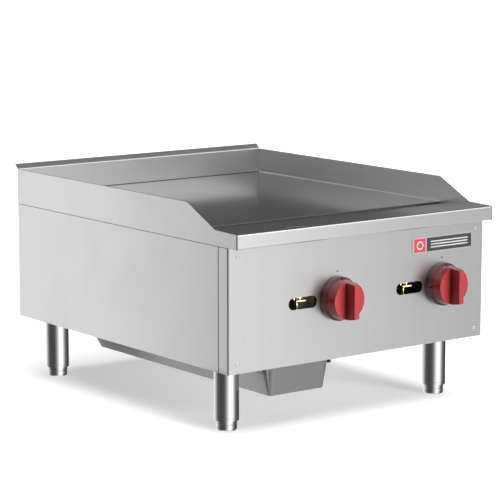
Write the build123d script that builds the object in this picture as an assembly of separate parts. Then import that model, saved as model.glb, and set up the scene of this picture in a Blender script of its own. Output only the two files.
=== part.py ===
from build123d import *

import math
import os

# Countertop gas griddle, in millimetres: +Z up, front towards -Y, +X to the right of a cook
# who faces it. The origin is the centre of the footprint, on the surface it stands on.

# --- Extra length of a cutter past the face it goes through ---
CUT_MARGIN = 1.0

# --- Body ---
BODY_WIDTH = 610.0
BODY_DEPTH = 715.0
BODY_HEIGHT = 228.5
PANEL_SHEET = 1.2
SEAM_GAP = 0.8
FLANGE_WIDTH = 20.0
FRONT_RETURN = 29.6
CORNER_BEND = 2.5
BASE_SHEET = 1.5

# --- Cooking top ---
PLATE_THICKNESS = 20.0
PLATE_EDGE_ROUND = 1.0
TOP_SHEET = 2.0
SPLASH_HEIGHT = 70.5
SPLASH_SLOPE_RUN = 85.5
SPLASH_NOSE_HEIGHT = 29.5
REAR_FLANGE_RUN = 10.0
REAR_FLANGE_SLOPE = 45.0
APRON_OVERHANG = 26.0
APRON_HEIGHT = 28.0
APRON_HEM = 4.5
APRON_BEND = 2.0
APRON_LIP = 38.0
TROUGH_WIDTH = 151.0
TROUGH_STEP = 3.0
TROUGH_FALL = 10.5
TROUGH_HEM = 10.0

# --- Grease drain ---
CHUTE_WIDTH = 42.0
CHUTE_DEPTH = 30.0
CHUTE_TRAY_GAP = 2.3
CHUTE_CLEARANCE = 2.7
CHUTE_OFFSET = 6.0
CHUTE_HOLE_MARGIN = 1.0
TRAY_HANG = 3.0
TRAY_HEIGHT = 55.5
TRAY_FLOOR_WIDTH = 126.0
TRAY_REAR_GAP = 83.3
TRAY_SIDE_DRAFT = 12.1
TRAY_FRONT_DRAFT = 8.9
TRAY_BACK_RUN = 44.7
TRAY_FLOOR_ROUND = 5.0
TRAY_RIM_ROUND = 19.2
TRAY_SETBACK = 19.0
TRAY_SHEET = 1.2
TRAY_FLANGE = 4.4
TRAY_FLANGE_DROP = 8.3
TRAY_RUNNER_SETBACK = 10.0
RAIL_SHEET = 1.2
RAIL_PLAY = 0.8
RAIL_FLANGE = 11.0
SLIDE_CLEARANCE = 0.3

# --- Burners, one under each half of the plate ---
BURNER_PITCH = 256.0
BURNER_LEG_SPAN = 144.0
BURNER_TUBE_RADIUS = 16.0
BURNER_HEADER_RADIUS = 15.5
BURNER_BEND = 40.0
BURNER_WALL = 1.5
BURNER_HEADER_SETBACK = 109.0
BURNER_REAR_GAP = 51.0
BURNER_PORTS = 14
BURNER_PORT_WIDTH = 3.0
BURNER_PORT_LENGTH = 18.0
MIXER_RADIUS = 18.0
MIXER_GAP = 6.0
SHUTTER_LENGTH = 22.0
SHUTTER_WALL = 1.2
SHUTTER_WINDOW_LENGTH = 12.0
SHUTTER_WINDOW_WIDTH = 14.0
CROSSMEMBER_WIDTH = 30.0
CROSSMEMBER_THICKNESS = 4.0
CROSSMEMBER_TAB = 24.0
CROSSMEMBER_INSET = 60.0

# --- Gas pipework ---
PIPE_RADIUS = 13.35
PIPE_WALL = 2.9
MANIFOLD_CLEARANCE = 2.1
MANIFOLD_DROP = 40.0
MANIFOLD_REACH = 104.0
SUPPLY_INSET = 43.0
INLET_STAND_OUT = 22.0
INLET_THREAD_RADIUS = 13.0
INLET_THREAD_LENGTH = 18.0
ELBOW_WALL = 4.15
ELBOW_ARM = 24.0
PLUG_LENGTH = 16.0
PLUG_SQUARE = 14.0
BRACKET_OFFSET = -47.0
BRACKET_WIDTH = 22.0
BRACKET_THICKNESS = 2.5

# --- Controls ---
KNOB_RISE = 113.0
KNOB_PROJECTION = 57.0
KNOB_BACK_GAP = 1.0
KNOB_SKIRT_RADIUS = 41.0
KNOB_SKIRT_DEPTH = 10.0
KNOB_RIM_RADIUS = 38.0
KNOB_FACE_RADIUS = 35.2
KNOB_FACE_DEPTH = 36.0
KNOB_GRIP_BASE = 19.0
KNOB_GRIP_FRONT = 11.0
KNOB_GRIP_TAPER = 3.5
KNOB_WALL = 3.5
KNOB_CAVITY_DEPTH = 24.0
KNOB_BOSS_RADIUS = 9.0
KNOB_BOSS_SETBACK = 1.0
KNOB_POINTER = 3.0
KNOB_POINTER_LENGTH = 6.0
KNOB_SKIRT_BEVEL = 2.0
STEM_RADIUS = 4.0
STEM_CLEARANCE = 0.05
STEM_ENGAGEMENT = 30.0
STEM_HOLE_CLEARANCE = 2.0
STEM_SEAT = 1.0
VALVE_WIDTH = 26.0
VALVE_DEPTH = 26.0
VALVE_TOP_RISE = 15.0
VALVE_INLET_RADIUS = 9.0
VALVE_SEAT = 2.0
ORIFICE_RADIUS = 7.0
ORIFICE_LENGTH = 17.0
ORIFICE_BORE = 1.5

# --- Lighting slots and pilots behind them ---
SLOT_LENGTH = 66.0
SLOT_HEIGHT = 22.4
SLOT_OFFSET = -8.5
PILOT_LEAD = 2.5
PILOT_BODY_LENGTH = 21.5
PILOT_BODY_RADIUS = 3.3
PILOT_TUBE_RADIUS = 1.6
PILOT_TIP_RISE = 28.0
PILOT_FEED_OFFSET = -7.5
PILOT_SECOND_TIP = -14.0
PILOT_VALVE_RADIUS = 6.0
PILOT_VALVE_HEIGHT = 12.0
PILOT_SPIGOT_RADIUS = 4.0
PILOT_SCREW_RADIUS = 2.5
PILOT_SCREW_STAND_OUT = 2.0
PILOT_SCREW_SLOT = 0.8
PILOT_BRACKET_SHEET = 1.5

# --- Trim on the front panel ---
BADGE_DROP = 36.7
BADGE_LENGTH = 151.0
BADGE_HEIGHT = 30.6
BADGE_THICKNESS = 1.5
BADGE_BORDER = 2.4
BADGE_SQUARE = 27.4
BADGE_FIELD_GAP = 3.8
BADGE_INLAY = 0.4
BADGE_CORNER = 2.5
INDEX_RISE = 50.3
INDEX_RADIUS = 1.7
INDEX_THICKNESS = 0.4
SCREW_X_INSET = 20.0
SCREW_Z_INSET = 17.0
SCREW_RADIUS = 2.0
SCREW_HEAD_RADIUS = 3.4
SCREW_HEAD_HEIGHT = 2.2
SCREW_LENGTH = 8.0
SCREW_CLEARANCE = 0.1
SCREW_HEAD_ROUND = 1.3
SCREW_HOLE_REACH = 3.6
REAR_SCREW_ROWS = 3

# --- Rear panel openings ---
FLUE_SLOTS = 6
FLUE_SLOT_LENGTH = 60.0
FLUE_SLOT_HEIGHT = 10.0
FLUE_SLOT_DROP = 27.5
INLET_HOLE_CLEARANCE = 2.0

# --- Base pan openings ---
AIR_SLOT_GRID = 3
AIR_SLOT_OFFSET = -28.0
AIR_SLOT_Y = 60.0
AIR_SLOT_PITCH_X = 90.0
AIR_SLOT_PITCH_Y = 120.0
AIR_SLOT_LENGTH = 70.0
AIR_SLOT_WIDTH = 12.0

# --- Legs ---
LEG_HEIGHT = 121.0
LEG_X_INSET = 53.0
FRONT_LEG_INSET = 78.0
REAR_LEG_INSET = 57.0
LEG_RADIUS = 23.25
LEG_WALL = 2.0
LEG_GROUND_CLEARANCE = 18.5
LEG_PLATE_SIZE = 80.0
LEG_PLATE_THICKNESS = 3.0
LEG_BOLT_SPAN = 60.0
LEG_BOLT_RADIUS = 3.0
LEG_BOLT_HEAD = 5.5
LEG_BOLT_HEAD_HEIGHT = 4.0
HEX_SIDES = 6
LEG_BOLT_STICK_OUT = 6.0
INSERT_THICKNESS = 8.0
INSERT_HEIGHT = 44.0
FOOT_RADIUS = 19.5
FOOT_HEIGHT = 26.0
FOOT_CHAMFER = 2.5
STUD_RADIUS = 6.0
STUD_CLEARANCE = 0.05
STUD_LENGTH = 60.0

# --- Places worked out from the sizes above ---
SIDES = ("left", "right")
OVERALL_DEPTH = KNOB_PROJECTION + BODY_DEPTH + max(REAR_FLANGE_RUN, INLET_STAND_OUT)
PANEL_Y = KNOB_PROJECTION - OVERALL_DEPTH / 2
BACK_Y = PANEL_Y + BODY_DEPTH
SIDE_X = BODY_WIDTH / 2
BODY_BOTTOM = LEG_HEIGHT
BODY_TOP = BODY_BOTTOM + BODY_HEIGHT
SPLASH_INNER_X = SIDE_X - TOP_SHEET
SKIN_INNER_X = SIDE_X - PANEL_SHEET
PANEL_INNER_Y = PANEL_Y + PANEL_SHEET
REAR_INNER_Y = BACK_Y - PANEL_SHEET
PLATE_TOP = BODY_TOP + PLATE_THICKNESS
SPLASH_BOTTOM = BODY_TOP + SEAM_GAP
SPLASH_TOP = BODY_TOP + SPLASH_HEIGHT
APRON_Y = PANEL_Y - APRON_OVERHANG
APRON_TOP = BODY_TOP + APRON_HEIGHT
APRON_INNER_Y = APRON_Y + APRON_HEM + TOP_SHEET
PLATE_FRONT_Y = APRON_Y + TROUGH_WIDTH
BACK_SPLASH_Y = BACK_Y - TOP_SHEET
BURNER_X = (-BURNER_PITCH / 2, BURNER_PITCH / 2)
BURNER_HEADER_Y = PANEL_Y + BURNER_HEADER_SETBACK
BURNER_END_Y = BACK_Y - BURNER_REAR_GAP
KNOB_X = tuple(x + BURNER_LEG_SPAN / 2 for x in BURNER_X)
KNOB_Z = BODY_BOTTOM + KNOB_RISE
BURNER_BOTTOM_Z = KNOB_Z - BURNER_TUBE_RADIUS
SUPPLY_X = SIDE_X - SUPPLY_INSET
ELBOW_RADIUS = PIPE_RADIUS + ELBOW_WALL
MANIFOLD_START_X = BURNER_X[0] - MANIFOLD_REACH
MANIFOLD_Y = PANEL_INNER_Y + PANEL_SHEET + MANIFOLD_CLEARANCE + ELBOW_RADIUS
MANIFOLD_Z = KNOB_Z - MANIFOLD_DROP
MANIFOLD_TOP = MANIFOLD_Z + PIPE_RADIUS
VALVE_FRONT_Y = MANIFOLD_Y - VALVE_DEPTH / 2
VALVE_BACK_Y = MANIFOLD_Y + VALVE_DEPTH / 2
ORIFICE_TIP_Y = VALVE_BACK_Y + ORIFICE_LENGTH
MIXER_MOUTH_Y = ORIFICE_TIP_Y + MIXER_GAP
MIXER_END_Y = MIXER_MOUTH_Y + SHUTTER_LENGTH
PILOT_Y = MANIFOLD_Y - PILOT_LEAD
PILOT_SCREW_Z = MANIFOLD_TOP + PILOT_VALVE_HEIGHT / 2
BADGE_Z = BODY_TOP - BADGE_DROP
TRAY_X = BURNER_X[0]
TRAY_RIM_Z = BODY_BOTTOM - TRAY_HANG
TRAY_FLOOR_Z = TRAY_RIM_Z - TRAY_HEIGHT
TRAY_FRONT_Y = PANEL_Y + TRAY_SETBACK
TRAY_BACK_Y = BACK_Y - TRAY_REAR_GAP
TRAY_RIM_HALF = TRAY_FLOOR_WIDTH / 2 + TRAY_SIDE_DRAFT
TRAY_FLANGE_Z = TRAY_RIM_Z - TRAY_FLANGE_DROP - TRAY_SHEET
RAIL_BOTTOM_Z = TRAY_FLANGE_Z - SLIDE_CLEARANCE - RAIL_SHEET
CHUTE_FRONT_Y = MANIFOLD_Y + PIPE_RADIUS + CHUTE_CLEARANCE
CHUTE_LEFT_X = TRAY_X + CHUTE_OFFSET
LEG_TOP = BODY_BOTTOM - LEG_PLATE_THICKNESS


def block(x_span, y_span, z_span):
    """Box between three (low, high) spans."""
    spans = (x_span, y_span, z_span)
    size = [high - low for low, high in spans]
    centre = [(high + low) / 2 for low, high in spans]
    return Pos(*centre) * Box(*size)


def rod(start, end, radius):
    """Cylinder of the given radius from one point to another."""
    axis = Vector(*end) - Vector(*start)
    base = Plane(origin=start, z_dir=axis)
    return base * Cylinder(radius, axis.length, align=(Align.CENTER, Align.CENTER, Align.MIN))


def around(centre, size):
    """Span of the given size about a centre."""
    return (centre - size / 2, centre + size / 2)


def mirrored(low, high, side):
    """Span on the right as given, or its mirror image on the left."""
    return (low, high) if side == "right" else (-high, -low)


def fused(shapes):
    """One solid made of shapes that touch or overlap."""
    total = shapes[0]
    for shape in shapes[1:]:
        total = total + shape
    return total


def save(name, *pieces):
    """Write one node; several pieces stay separate solids in it."""
    solids = [solid for piece in pieces for solid in piece.solids()]
    shape = solids[0] if len(solids) == 1 else Compound(children=solids)
    export_step(shape, f"parts/{name}.step")


def along_x(profile, x_span):
    """Sheet profile, drawn in Y and Z, extruded across the given span of X."""
    width = x_span[1] - x_span[0]
    return Pos(x_span[0], 0, 0) * extrude(profile, width, dir=(1, 0, 0))


def yz_face(points):
    """Face in the YZ plane from its corner points."""
    return Plane.YZ * make_face(Polyline(*points, close=True))


def bent_sheet(points, bend, thickness):
    """Face of a bent sheet in the YZ plane, from its mid line and bend radius."""
    return Plane.YZ * trace(FilletPolyline(*points, radius=bend), thickness)


def bent_upright(points, bend, z_span):
    """Upright bent sheet from its mid line in plan."""
    profile = trace(FilletPolyline(*points, radius=bend), PANEL_SHEET)
    return Pos(0, 0, z_span[0]) * extrude(profile, z_span[1] - z_span[0])


def obround_cutter(x, y_span, z, length, height):
    """Round-ended slot cutter running along Y through a panel."""
    depth = y_span[1] - y_span[0]
    outline = SlotOverall(length, height)
    placed = Plane(origin=(x, y_span[0], z), x_dir=(1, 0, 0), z_dir=(0, 1, 0)) * outline
    return extrude(placed, depth, dir=(0, 1, 0))


# ---------------------------------------------------------------- cooking top
def griddle_plate():
    """Thick polished steel plate, resting on the side panels' top flanges."""
    plate = block((-SPLASH_INNER_X, SPLASH_INNER_X), (PLATE_FRONT_Y, BACK_SPLASH_Y),
                  (BODY_TOP, PLATE_TOP))
    front_edge = plate.edges().filter_by(Axis.X).group_by(Axis.Z)[-1].sort_by(Axis.Y)[0]
    return fillet(front_edge, PLATE_EDGE_ROUND)


def back_splash():
    """Upright sheet behind the plate, its top edge turned back at 45 degrees."""
    top = SPLASH_TOP
    mid_y = BACK_Y - TOP_SHEET / 2
    tip_inset = TOP_SHEET / 2 * math.sin(math.radians(REAR_FLANGE_SLOPE))
    tip = (BACK_Y + REAR_FLANGE_RUN - tip_inset, top + REAR_FLANGE_RUN - tip_inset)
    path = [(mid_y, SPLASH_BOTTOM), (mid_y, top), tip]
    return along_x(bent_sheet(path, APRON_BEND, TOP_SHEET), (-SIDE_X, SIDE_X))


def side_splash(side):
    """Side guard: level beside the plate, sloped down beside the trough."""
    nose = BODY_TOP + SPLASH_NOSE_HEIGHT
    outline = [(APRON_Y, SPLASH_BOTTOM), (BACK_SPLASH_Y, SPLASH_BOTTOM),
               (BACK_SPLASH_Y, SPLASH_TOP), (PLATE_FRONT_Y, SPLASH_TOP),
               (PLATE_FRONT_Y - SPLASH_SLOPE_RUN, nose), (APRON_Y, APRON_TOP)]
    return along_x(yz_face(outline), mirrored(SPLASH_INNER_X, SIDE_X, side))


def grease_trough():
    """Trough floor falling forwards from the plate, with the apron folded from its front."""
    half = TOP_SHEET / 2
    rear_y = PLATE_FRONT_Y - half
    rear_z = PLATE_TOP - TROUGH_STEP - half
    outer_y = APRON_Y + half
    inner_y = outer_y + APRON_HEM
    rim_z = APRON_TOP - half
    lip_z = SPLASH_BOTTOM + half
    path = [(rear_y, rear_z - TROUGH_HEM), (rear_y, rear_z), (inner_y, rear_z - TROUGH_FALL),
            (inner_y, rim_z), (outer_y, rim_z), (outer_y, lip_z), (outer_y + APRON_LIP, lip_z)]
    sheet = along_x(bent_sheet(path, APRON_BEND, TOP_SHEET), (-SPLASH_INNER_X, SPLASH_INNER_X))
    drop = block((CHUTE_LEFT_X, CHUTE_LEFT_X + CHUTE_WIDTH),
                 (CHUTE_FRONT_Y, CHUTE_FRONT_Y + CHUTE_DEPTH),
                 (rear_z - 2 * TROUGH_FALL, PLATE_TOP))
    return sheet - drop


def grease_chute():
    """Rectangular duct from the trough's drop hole down to just above the tray."""
    fall = TROUGH_FALL / (PLATE_FRONT_Y - APRON_INNER_Y)
    floor_z = PLATE_TOP - TROUGH_STEP - TROUGH_FALL
    top = floor_z + fall * (CHUTE_FRONT_Y - APRON_INNER_Y)
    bottom = TRAY_RIM_Z + CHUTE_TRAY_GAP
    outer = block((CHUTE_LEFT_X, CHUTE_LEFT_X + CHUTE_WIDTH),
                  (CHUTE_FRONT_Y, CHUTE_FRONT_Y + CHUTE_DEPTH), (bottom, top))
    inner = block((CHUTE_LEFT_X + PANEL_SHEET, CHUTE_LEFT_X + CHUTE_WIDTH - PANEL_SHEET),
                  (CHUTE_FRONT_Y + PANEL_SHEET, CHUTE_FRONT_Y + CHUTE_DEPTH - PANEL_SHEET),
                  (bottom, top))
    return outer - inner


# ---------------------------------------------------------------- body shell
def front_screw_places():
    """Centres of the four front panel screws, as (x, z)."""
    x = SIDE_X - SCREW_X_INSET
    rows = (BODY_BOTTOM + SCREW_Z_INSET, BODY_TOP - SCREW_Z_INSET)
    return [(side * x, z) for side in (-1, 1) for z in rows]


def rear_screw_places():
    """Centres of the rear panel screws, as (x, z), in a column down each side."""
    x = SKIN_INNER_X - FLANGE_WIDTH / 2
    low = BODY_BOTTOM + SCREW_Z_INSET
    pitch = (BODY_TOP - BODY_BOTTOM - 2 * SCREW_Z_INSET) / (REAR_SCREW_ROWS - 1)
    return [(side * x, low + row * pitch) for side in (-1, 1) for row in range(REAR_SCREW_ROWS)]


def screw_holes(places, y):
    """Cutters for screw holes through sheets near a plane of constant Y."""
    radius = SCREW_RADIUS + SCREW_CLEARANCE
    reach = SCREW_HOLE_REACH
    return [rod((x, y - reach, z), (x, y + reach, z), radius) for x, z in places]


def front_panel():
    """Control panel: a sheet folded round both front corners, flanged top and bottom."""
    half = PANEL_SHEET / 2
    side_x = SIDE_X - half
    front_y = PANEL_Y + half
    rear_y = PANEL_Y + FRONT_RETURN
    path = [(-side_x, rear_y), (-side_x, front_y), (side_x, front_y), (side_x, rear_y)]
    wall = bent_upright(path, CORNER_BEND, (BODY_BOTTOM, BODY_TOP))
    reach = SIDE_X - 2 * SCREW_X_INSET
    top = block((-reach, reach), (PANEL_Y + half, PANEL_Y + FLANGE_WIDTH),
                (BODY_TOP - PANEL_SHEET, BODY_TOP))
    bottom = block((-reach, reach), (PANEL_Y + half, PANEL_Y + FLANGE_WIDTH),
                   (BODY_BOTTOM + BASE_SHEET, BODY_BOTTOM + BASE_SHEET + PANEL_SHEET))
    panel = fused([wall, top, bottom])
    through = (PANEL_Y - CUT_MARGIN, PANEL_INNER_Y + CUT_MARGIN)
    for x in BURNER_X:
        panel -= obround_cutter(x + SLOT_OFFSET, through, KNOB_Z, SLOT_LENGTH, SLOT_HEIGHT)
    for x in KNOB_X:
        hole = STEM_RADIUS + STEM_HOLE_CLEARANCE
        panel -= rod((x, through[0], KNOB_Z), (x, through[1], KNOB_Z), hole)
    for hole in screw_holes(front_screw_places(), PANEL_Y):
        panel -= hole
    return panel


def side_panel(side):
    """Side skin with flanges, joggled in at the front behind the front panel's return."""
    rear_flange = (REAR_INNER_Y - PANEL_SHEET, REAR_INNER_Y)
    skin_front = PANEL_Y + FRONT_RETURN + SEAM_GAP
    full_height = (BODY_BOTTOM, BODY_TOP)
    inner_height = (BODY_BOTTOM + BASE_SHEET, BODY_TOP)
    flange_x = SKIN_INNER_X - FLANGE_WIDTH
    flange_length = (PANEL_Y + FLANGE_WIDTH + SLIDE_CLEARANCE, REAR_INNER_Y)
    sign = 1 if side == "right" else -1
    joggle_x = sign * (SKIN_INNER_X - PANEL_SHEET / 2)
    screw_flange_y = PANEL_INNER_Y + PANEL_SHEET / 2
    joggle = [(joggle_x, skin_front + FLANGE_WIDTH), (joggle_x, screw_flange_y),
              (sign * (SIDE_X - 2 * SCREW_X_INSET), screw_flange_y)]

    def piece(x_low, x_high, y_span, z_span):
        return block(mirrored(x_low, x_high, side), y_span, z_span)

    panel = fused([
        piece(SKIN_INNER_X, SIDE_X, (skin_front, BACK_Y), full_height),
        bent_upright(joggle, CORNER_BEND, inner_height),
        piece(flange_x, SKIN_INNER_X, rear_flange, inner_height),
        piece(flange_x, SKIN_INNER_X, flange_length, (BODY_TOP - PANEL_SHEET, BODY_TOP)),
        piece(flange_x, SKIN_INNER_X, flange_length,
              (inner_height[0], inner_height[0] + PANEL_SHEET)),
    ])
    for hole in screw_holes(front_screw_places(), PANEL_INNER_Y):
        panel -= hole
    for hole in screw_holes(rear_screw_places(), REAR_INNER_Y):
        panel -= hole
    for hole in leg_bolt_holes():
        panel -= hole
    return panel


def rear_panel():
    """Back skin with a row of flue slots and the hole for the gas inlet."""
    panel = block((-SKIN_INNER_X, SKIN_INNER_X), (REAR_INNER_Y, BACK_Y),
                  (BODY_BOTTOM + BASE_SHEET, BODY_TOP))
    pitch = 2 * (SKIN_INNER_X - FLANGE_WIDTH) / FLUE_SLOTS
    through = (REAR_INNER_Y - CUT_MARGIN, BACK_Y + CUT_MARGIN)
    for index in range(FLUE_SLOTS):
        x = (index + 0.5 - FLUE_SLOTS / 2) * pitch
        panel -= obround_cutter(x, through, BODY_TOP - FLUE_SLOT_DROP, FLUE_SLOT_LENGTH, FLUE_SLOT_HEIGHT)
    hole = PIPE_RADIUS + INLET_HOLE_CLEARANCE
    panel -= rod((SUPPLY_X, through[0], MANIFOLD_Z), (SUPPLY_X, through[1], MANIFOLD_Z), hole)
    for cutter in screw_holes(rear_screw_places(), REAR_INNER_Y):
        panel -= cutter
    return panel


def base_pan():
    """Floor sheet inside the skins, open under the chute, with slots for burner air."""
    z_span = (BODY_BOTTOM, BODY_BOTTOM + BASE_SHEET)
    pan = block((-SKIN_INNER_X, SKIN_INNER_X), (PANEL_INNER_Y, BACK_Y), z_span)
    pan = chamfer(pan.edges().filter_by(Axis.Z).group_by(Axis.Y)[0], CORNER_BEND)
    cut_z = (z_span[0] - CUT_MARGIN, z_span[1] + CUT_MARGIN)
    margin = CHUTE_HOLE_MARGIN
    pan -= block((CHUTE_LEFT_X - margin, CHUTE_LEFT_X + CHUTE_WIDTH + margin),
                 (CHUTE_FRONT_Y - margin, CHUTE_FRONT_Y + CHUTE_DEPTH + margin), cut_z)
    for column in range(AIR_SLOT_GRID):
        for row in range(AIR_SLOT_GRID):
            middle = (AIR_SLOT_GRID - 1) / 2
            x = BURNER_X[1] + AIR_SLOT_OFFSET + (column - middle) * AIR_SLOT_PITCH_X
            y = AIR_SLOT_Y + (row - middle) * AIR_SLOT_PITCH_Y
            pan -= block(around(x, AIR_SLOT_LENGTH), around(y, AIR_SLOT_WIDTH), cut_z)
    for hole in leg_bolt_holes():
        pan -= hole
    return pan


def panel_screws():
    """Pan head screws: four through the front panel, six through the rear one."""
    screws = []
    for places, face_y, outward in ((front_screw_places(), PANEL_Y, -1),
                                    (rear_screw_places(), BACK_Y, 1)):
        for x, z in places:
            tip = face_y - outward * SCREW_LENGTH
            top = face_y + outward * SCREW_HEAD_HEIGHT
            head = rod((x, face_y, z), (x, top, z), SCREW_HEAD_RADIUS)
            rim = head.edges().sort_by(Axis.Y)[0 if outward < 0 else -1]
            shank = rod((x, tip, z), (x, face_y, z), SCREW_RADIUS)
            screws.append(fillet(rim, SCREW_HEAD_ROUND) + shank)
    return screws


def cross_member(y):
    """Flat bar under the burner tubes, its ends turned up against the side skins."""
    y_span = around(y, CROSSMEMBER_WIDTH)
    top = BURNER_BOTTOM_Z
    end = SKIN_INNER_X
    bar = block((-end, end), y_span, (top - CROSSMEMBER_THICKNESS, top))
    tabs = [block(mirrored(end - CROSSMEMBER_THICKNESS, end, side), y_span,
                  (top, top + CROSSMEMBER_TAB)) for side in SIDES]
    return fused([bar] + tabs)


# ---------------------------------------------------------------- legs
def leg_places():
    """Leg axes by name, as (x, y)."""
    x = SIDE_X - LEG_X_INSET
    rows = {"front": PANEL_Y + FRONT_LEG_INSET, "rear": BACK_Y - REAR_LEG_INSET}
    return {f"{row}_{side}": (x if side == "right" else -x, y)
            for row, y in rows.items() for side in SIDES}


def leg_bolt_places():
    """Centres of the four bolts round each leg."""
    offset = LEG_BOLT_SPAN / 2
    return [(x + i * offset, y + j * offset) for x, y in leg_places().values()
            for i in (-1, 1) for j in (-1, 1)]


def leg_bolt_holes():
    """Cutters for the leg bolts through the base pan and the flanges above it."""
    low = BODY_BOTTOM - CUT_MARGIN
    high = BODY_BOTTOM + BASE_SHEET + PANEL_SHEET + CUT_MARGIN
    radius = LEG_BOLT_RADIUS + SCREW_CLEARANCE
    return [rod((x, y, low), (x, y, high), radius) for x, y in leg_bolt_places()]


def leg_tube(x, y):
    """Straight round leg, open at the bottom for the foot."""
    outer = rod((x, y, LEG_GROUND_CLEARANCE), (x, y, LEG_TOP), LEG_RADIUS)
    inner = rod((x, y, LEG_GROUND_CLEARANCE - CUT_MARGIN), (x, y, LEG_TOP + CUT_MARGIN),
                LEG_RADIUS - LEG_WALL)
    return outer - inner


def leg_plate(x, y):
    """Square plate welded on the leg and bolted under the base pan."""
    plate = block(around(x, LEG_PLATE_SIZE), around(y, LEG_PLATE_SIZE), (LEG_TOP, BODY_BOTTOM))
    offset = LEG_BOLT_SPAN / 2
    for i in (-1, 1):
        for j in (-1, 1):
            centre = (x + i * offset, y + j * offset)
            plate -= rod((*centre, LEG_TOP - CUT_MARGIN), (*centre, BODY_BOTTOM + CUT_MARGIN),
                         LEG_BOLT_RADIUS + SCREW_CLEARANCE)
    return plate


def hexagon(x, y, z_span, radius):
    """Upright hexagonal prism."""
    prism = extrude(RegularPolygon(radius, HEX_SIDES), z_span[1] - z_span[0])
    return Pos(x, y, z_span[0]) * prism


def leg_bolt(x, y):
    """Hex head bolt pushed up through leg plate and base pan."""
    head = hexagon(x, y, (LEG_TOP - LEG_BOLT_HEAD_HEIGHT, LEG_TOP), LEG_BOLT_HEAD)
    tip = BODY_BOTTOM + BASE_SHEET + PANEL_SHEET + LEG_BOLT_STICK_OUT
    return head + rod((x, y, LEG_TOP), (x, y, tip), LEG_BOLT_RADIUS)


def leg_nut(x, y):
    """Hex nut on top of the base pan."""
    low = BODY_BOTTOM + BASE_SHEET
    if abs(x) + LEG_BOLT_HEAD > SKIN_INNER_X - FLANGE_WIDTH:
        low += PANEL_SHEET
    high = low + LEG_BOLT_HEAD_HEIGHT
    return hexagon(x, y, (low, high), LEG_BOLT_HEAD) - rod((x, y, low - CUT_MARGIN),
                                                           (x, y, high + CUT_MARGIN),
                                                           LEG_BOLT_RADIUS + STEM_CLEARANCE)


def leg_insert(x, y):
    """Threaded disc pressed into the leg, which the foot's stud screws through."""
    low = INSERT_HEIGHT
    high = low + INSERT_THICKNESS
    disc = rod((x, y, low), (x, y, high), LEG_RADIUS - LEG_WALL)
    return disc - rod((x, y, low - CUT_MARGIN), (x, y, high + CUT_MARGIN),
                      STUD_RADIUS + STUD_CLEARANCE)


def foot(x, y):
    """Round foot on a threaded stud; it screws up into the leg or out of it."""
    base = rod((x, y, 0), (x, y, FOOT_HEIGHT), FOOT_RADIUS)
    base = chamfer(base.edges().sort_by(Axis.Z)[0], FOOT_CHAMFER)
    return base + rod((x, y, FOOT_HEIGHT), (x, y, FOOT_HEIGHT + STUD_LENGTH), STUD_RADIUS)


# ---------------------------------------------------------------- grease tray
def tray_ring(z, inset):
    """Outline of the tray at a height, moved inwards by the given amount."""
    rise = (z - TRAY_FLOOR_Z) / TRAY_HEIGHT
    half = TRAY_RIM_HALF - TRAY_SIDE_DRAFT * (1 - rise) - inset
    front = TRAY_FRONT_Y + TRAY_FRONT_DRAFT * (1 - rise) + inset
    back = TRAY_BACK_Y - TRAY_BACK_RUN * (1 - rise) - inset
    bend = TRAY_FLOOR_ROUND + (TRAY_RIM_ROUND - TRAY_FLOOR_ROUND) * rise - inset
    outline = Pos(TRAY_X, (front + back) / 2, z) * Rectangle(2 * half, back - front)
    return fillet(outline.vertices().sort_by(Axis.Y)[:2], bend)


def grease_tray():
    """Long pressed tray: drafted walls, wide front corners, and a flange along each side."""
    outer = loft([tray_ring(TRAY_FLOOR_Z, 0), tray_ring(TRAY_RIM_Z, 0)], ruled=True)
    above = TRAY_RIM_Z + TRAY_SHEET
    floor = TRAY_FLOOR_Z + TRAY_SHEET
    inner = loft([tray_ring(floor, TRAY_SHEET), tray_ring(above, TRAY_SHEET)], ruled=True)
    y_span = (TRAY_FRONT_Y + TRAY_RIM_ROUND, TRAY_BACK_Y - TRAY_BACK_RUN)
    z_span = (TRAY_FLANGE_Z, TRAY_FLANGE_Z + TRAY_SHEET)
    flanges = [block(mirrored(TRAY_FLOOR_WIDTH / 2, TRAY_RIM_HALF + TRAY_FLANGE, side), y_span,
                     z_span) for side in SIDES]
    flanges = [Pos(TRAY_X, 0, 0) * flange for flange in flanges]
    return fused([outer] + flanges) - inner


def tray_rail(side):
    """C-shaped runner under the base pan that the tray's flange slides in."""
    web_inner = TRAY_RIM_HALF + TRAY_FLANGE + RAIL_PLAY
    web_outer = web_inner + RAIL_SHEET
    lip_inner = TRAY_RIM_HALF + SLIDE_CLEARANCE
    y_span = (TRAY_FRONT_Y + TRAY_RUNNER_SETBACK, TRAY_BACK_Y - TRAY_BACK_RUN)

    def piece(x_low, x_high, z_span):
        return Pos(TRAY_X, 0, 0) * block(mirrored(x_low, x_high, side), y_span, z_span)

    return fused([
        piece(web_inner, web_outer, (RAIL_BOTTOM_Z, BODY_BOTTOM)),
        piece(web_outer - RAIL_FLANGE, web_outer, (BODY_BOTTOM - RAIL_SHEET, BODY_BOTTOM)),
        piece(lip_inner, web_outer, (RAIL_BOTTOM_Z, RAIL_BOTTOM_Z + RAIL_SHEET)),
    ])


# ---------------------------------------------------------------- gas pipework
def pipe(start, end):
    """Length of gas pipe, hollow from end to end."""
    return rod(start, end, PIPE_RADIUS) - rod(start, end, PIPE_RADIUS - PIPE_WALL)


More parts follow.
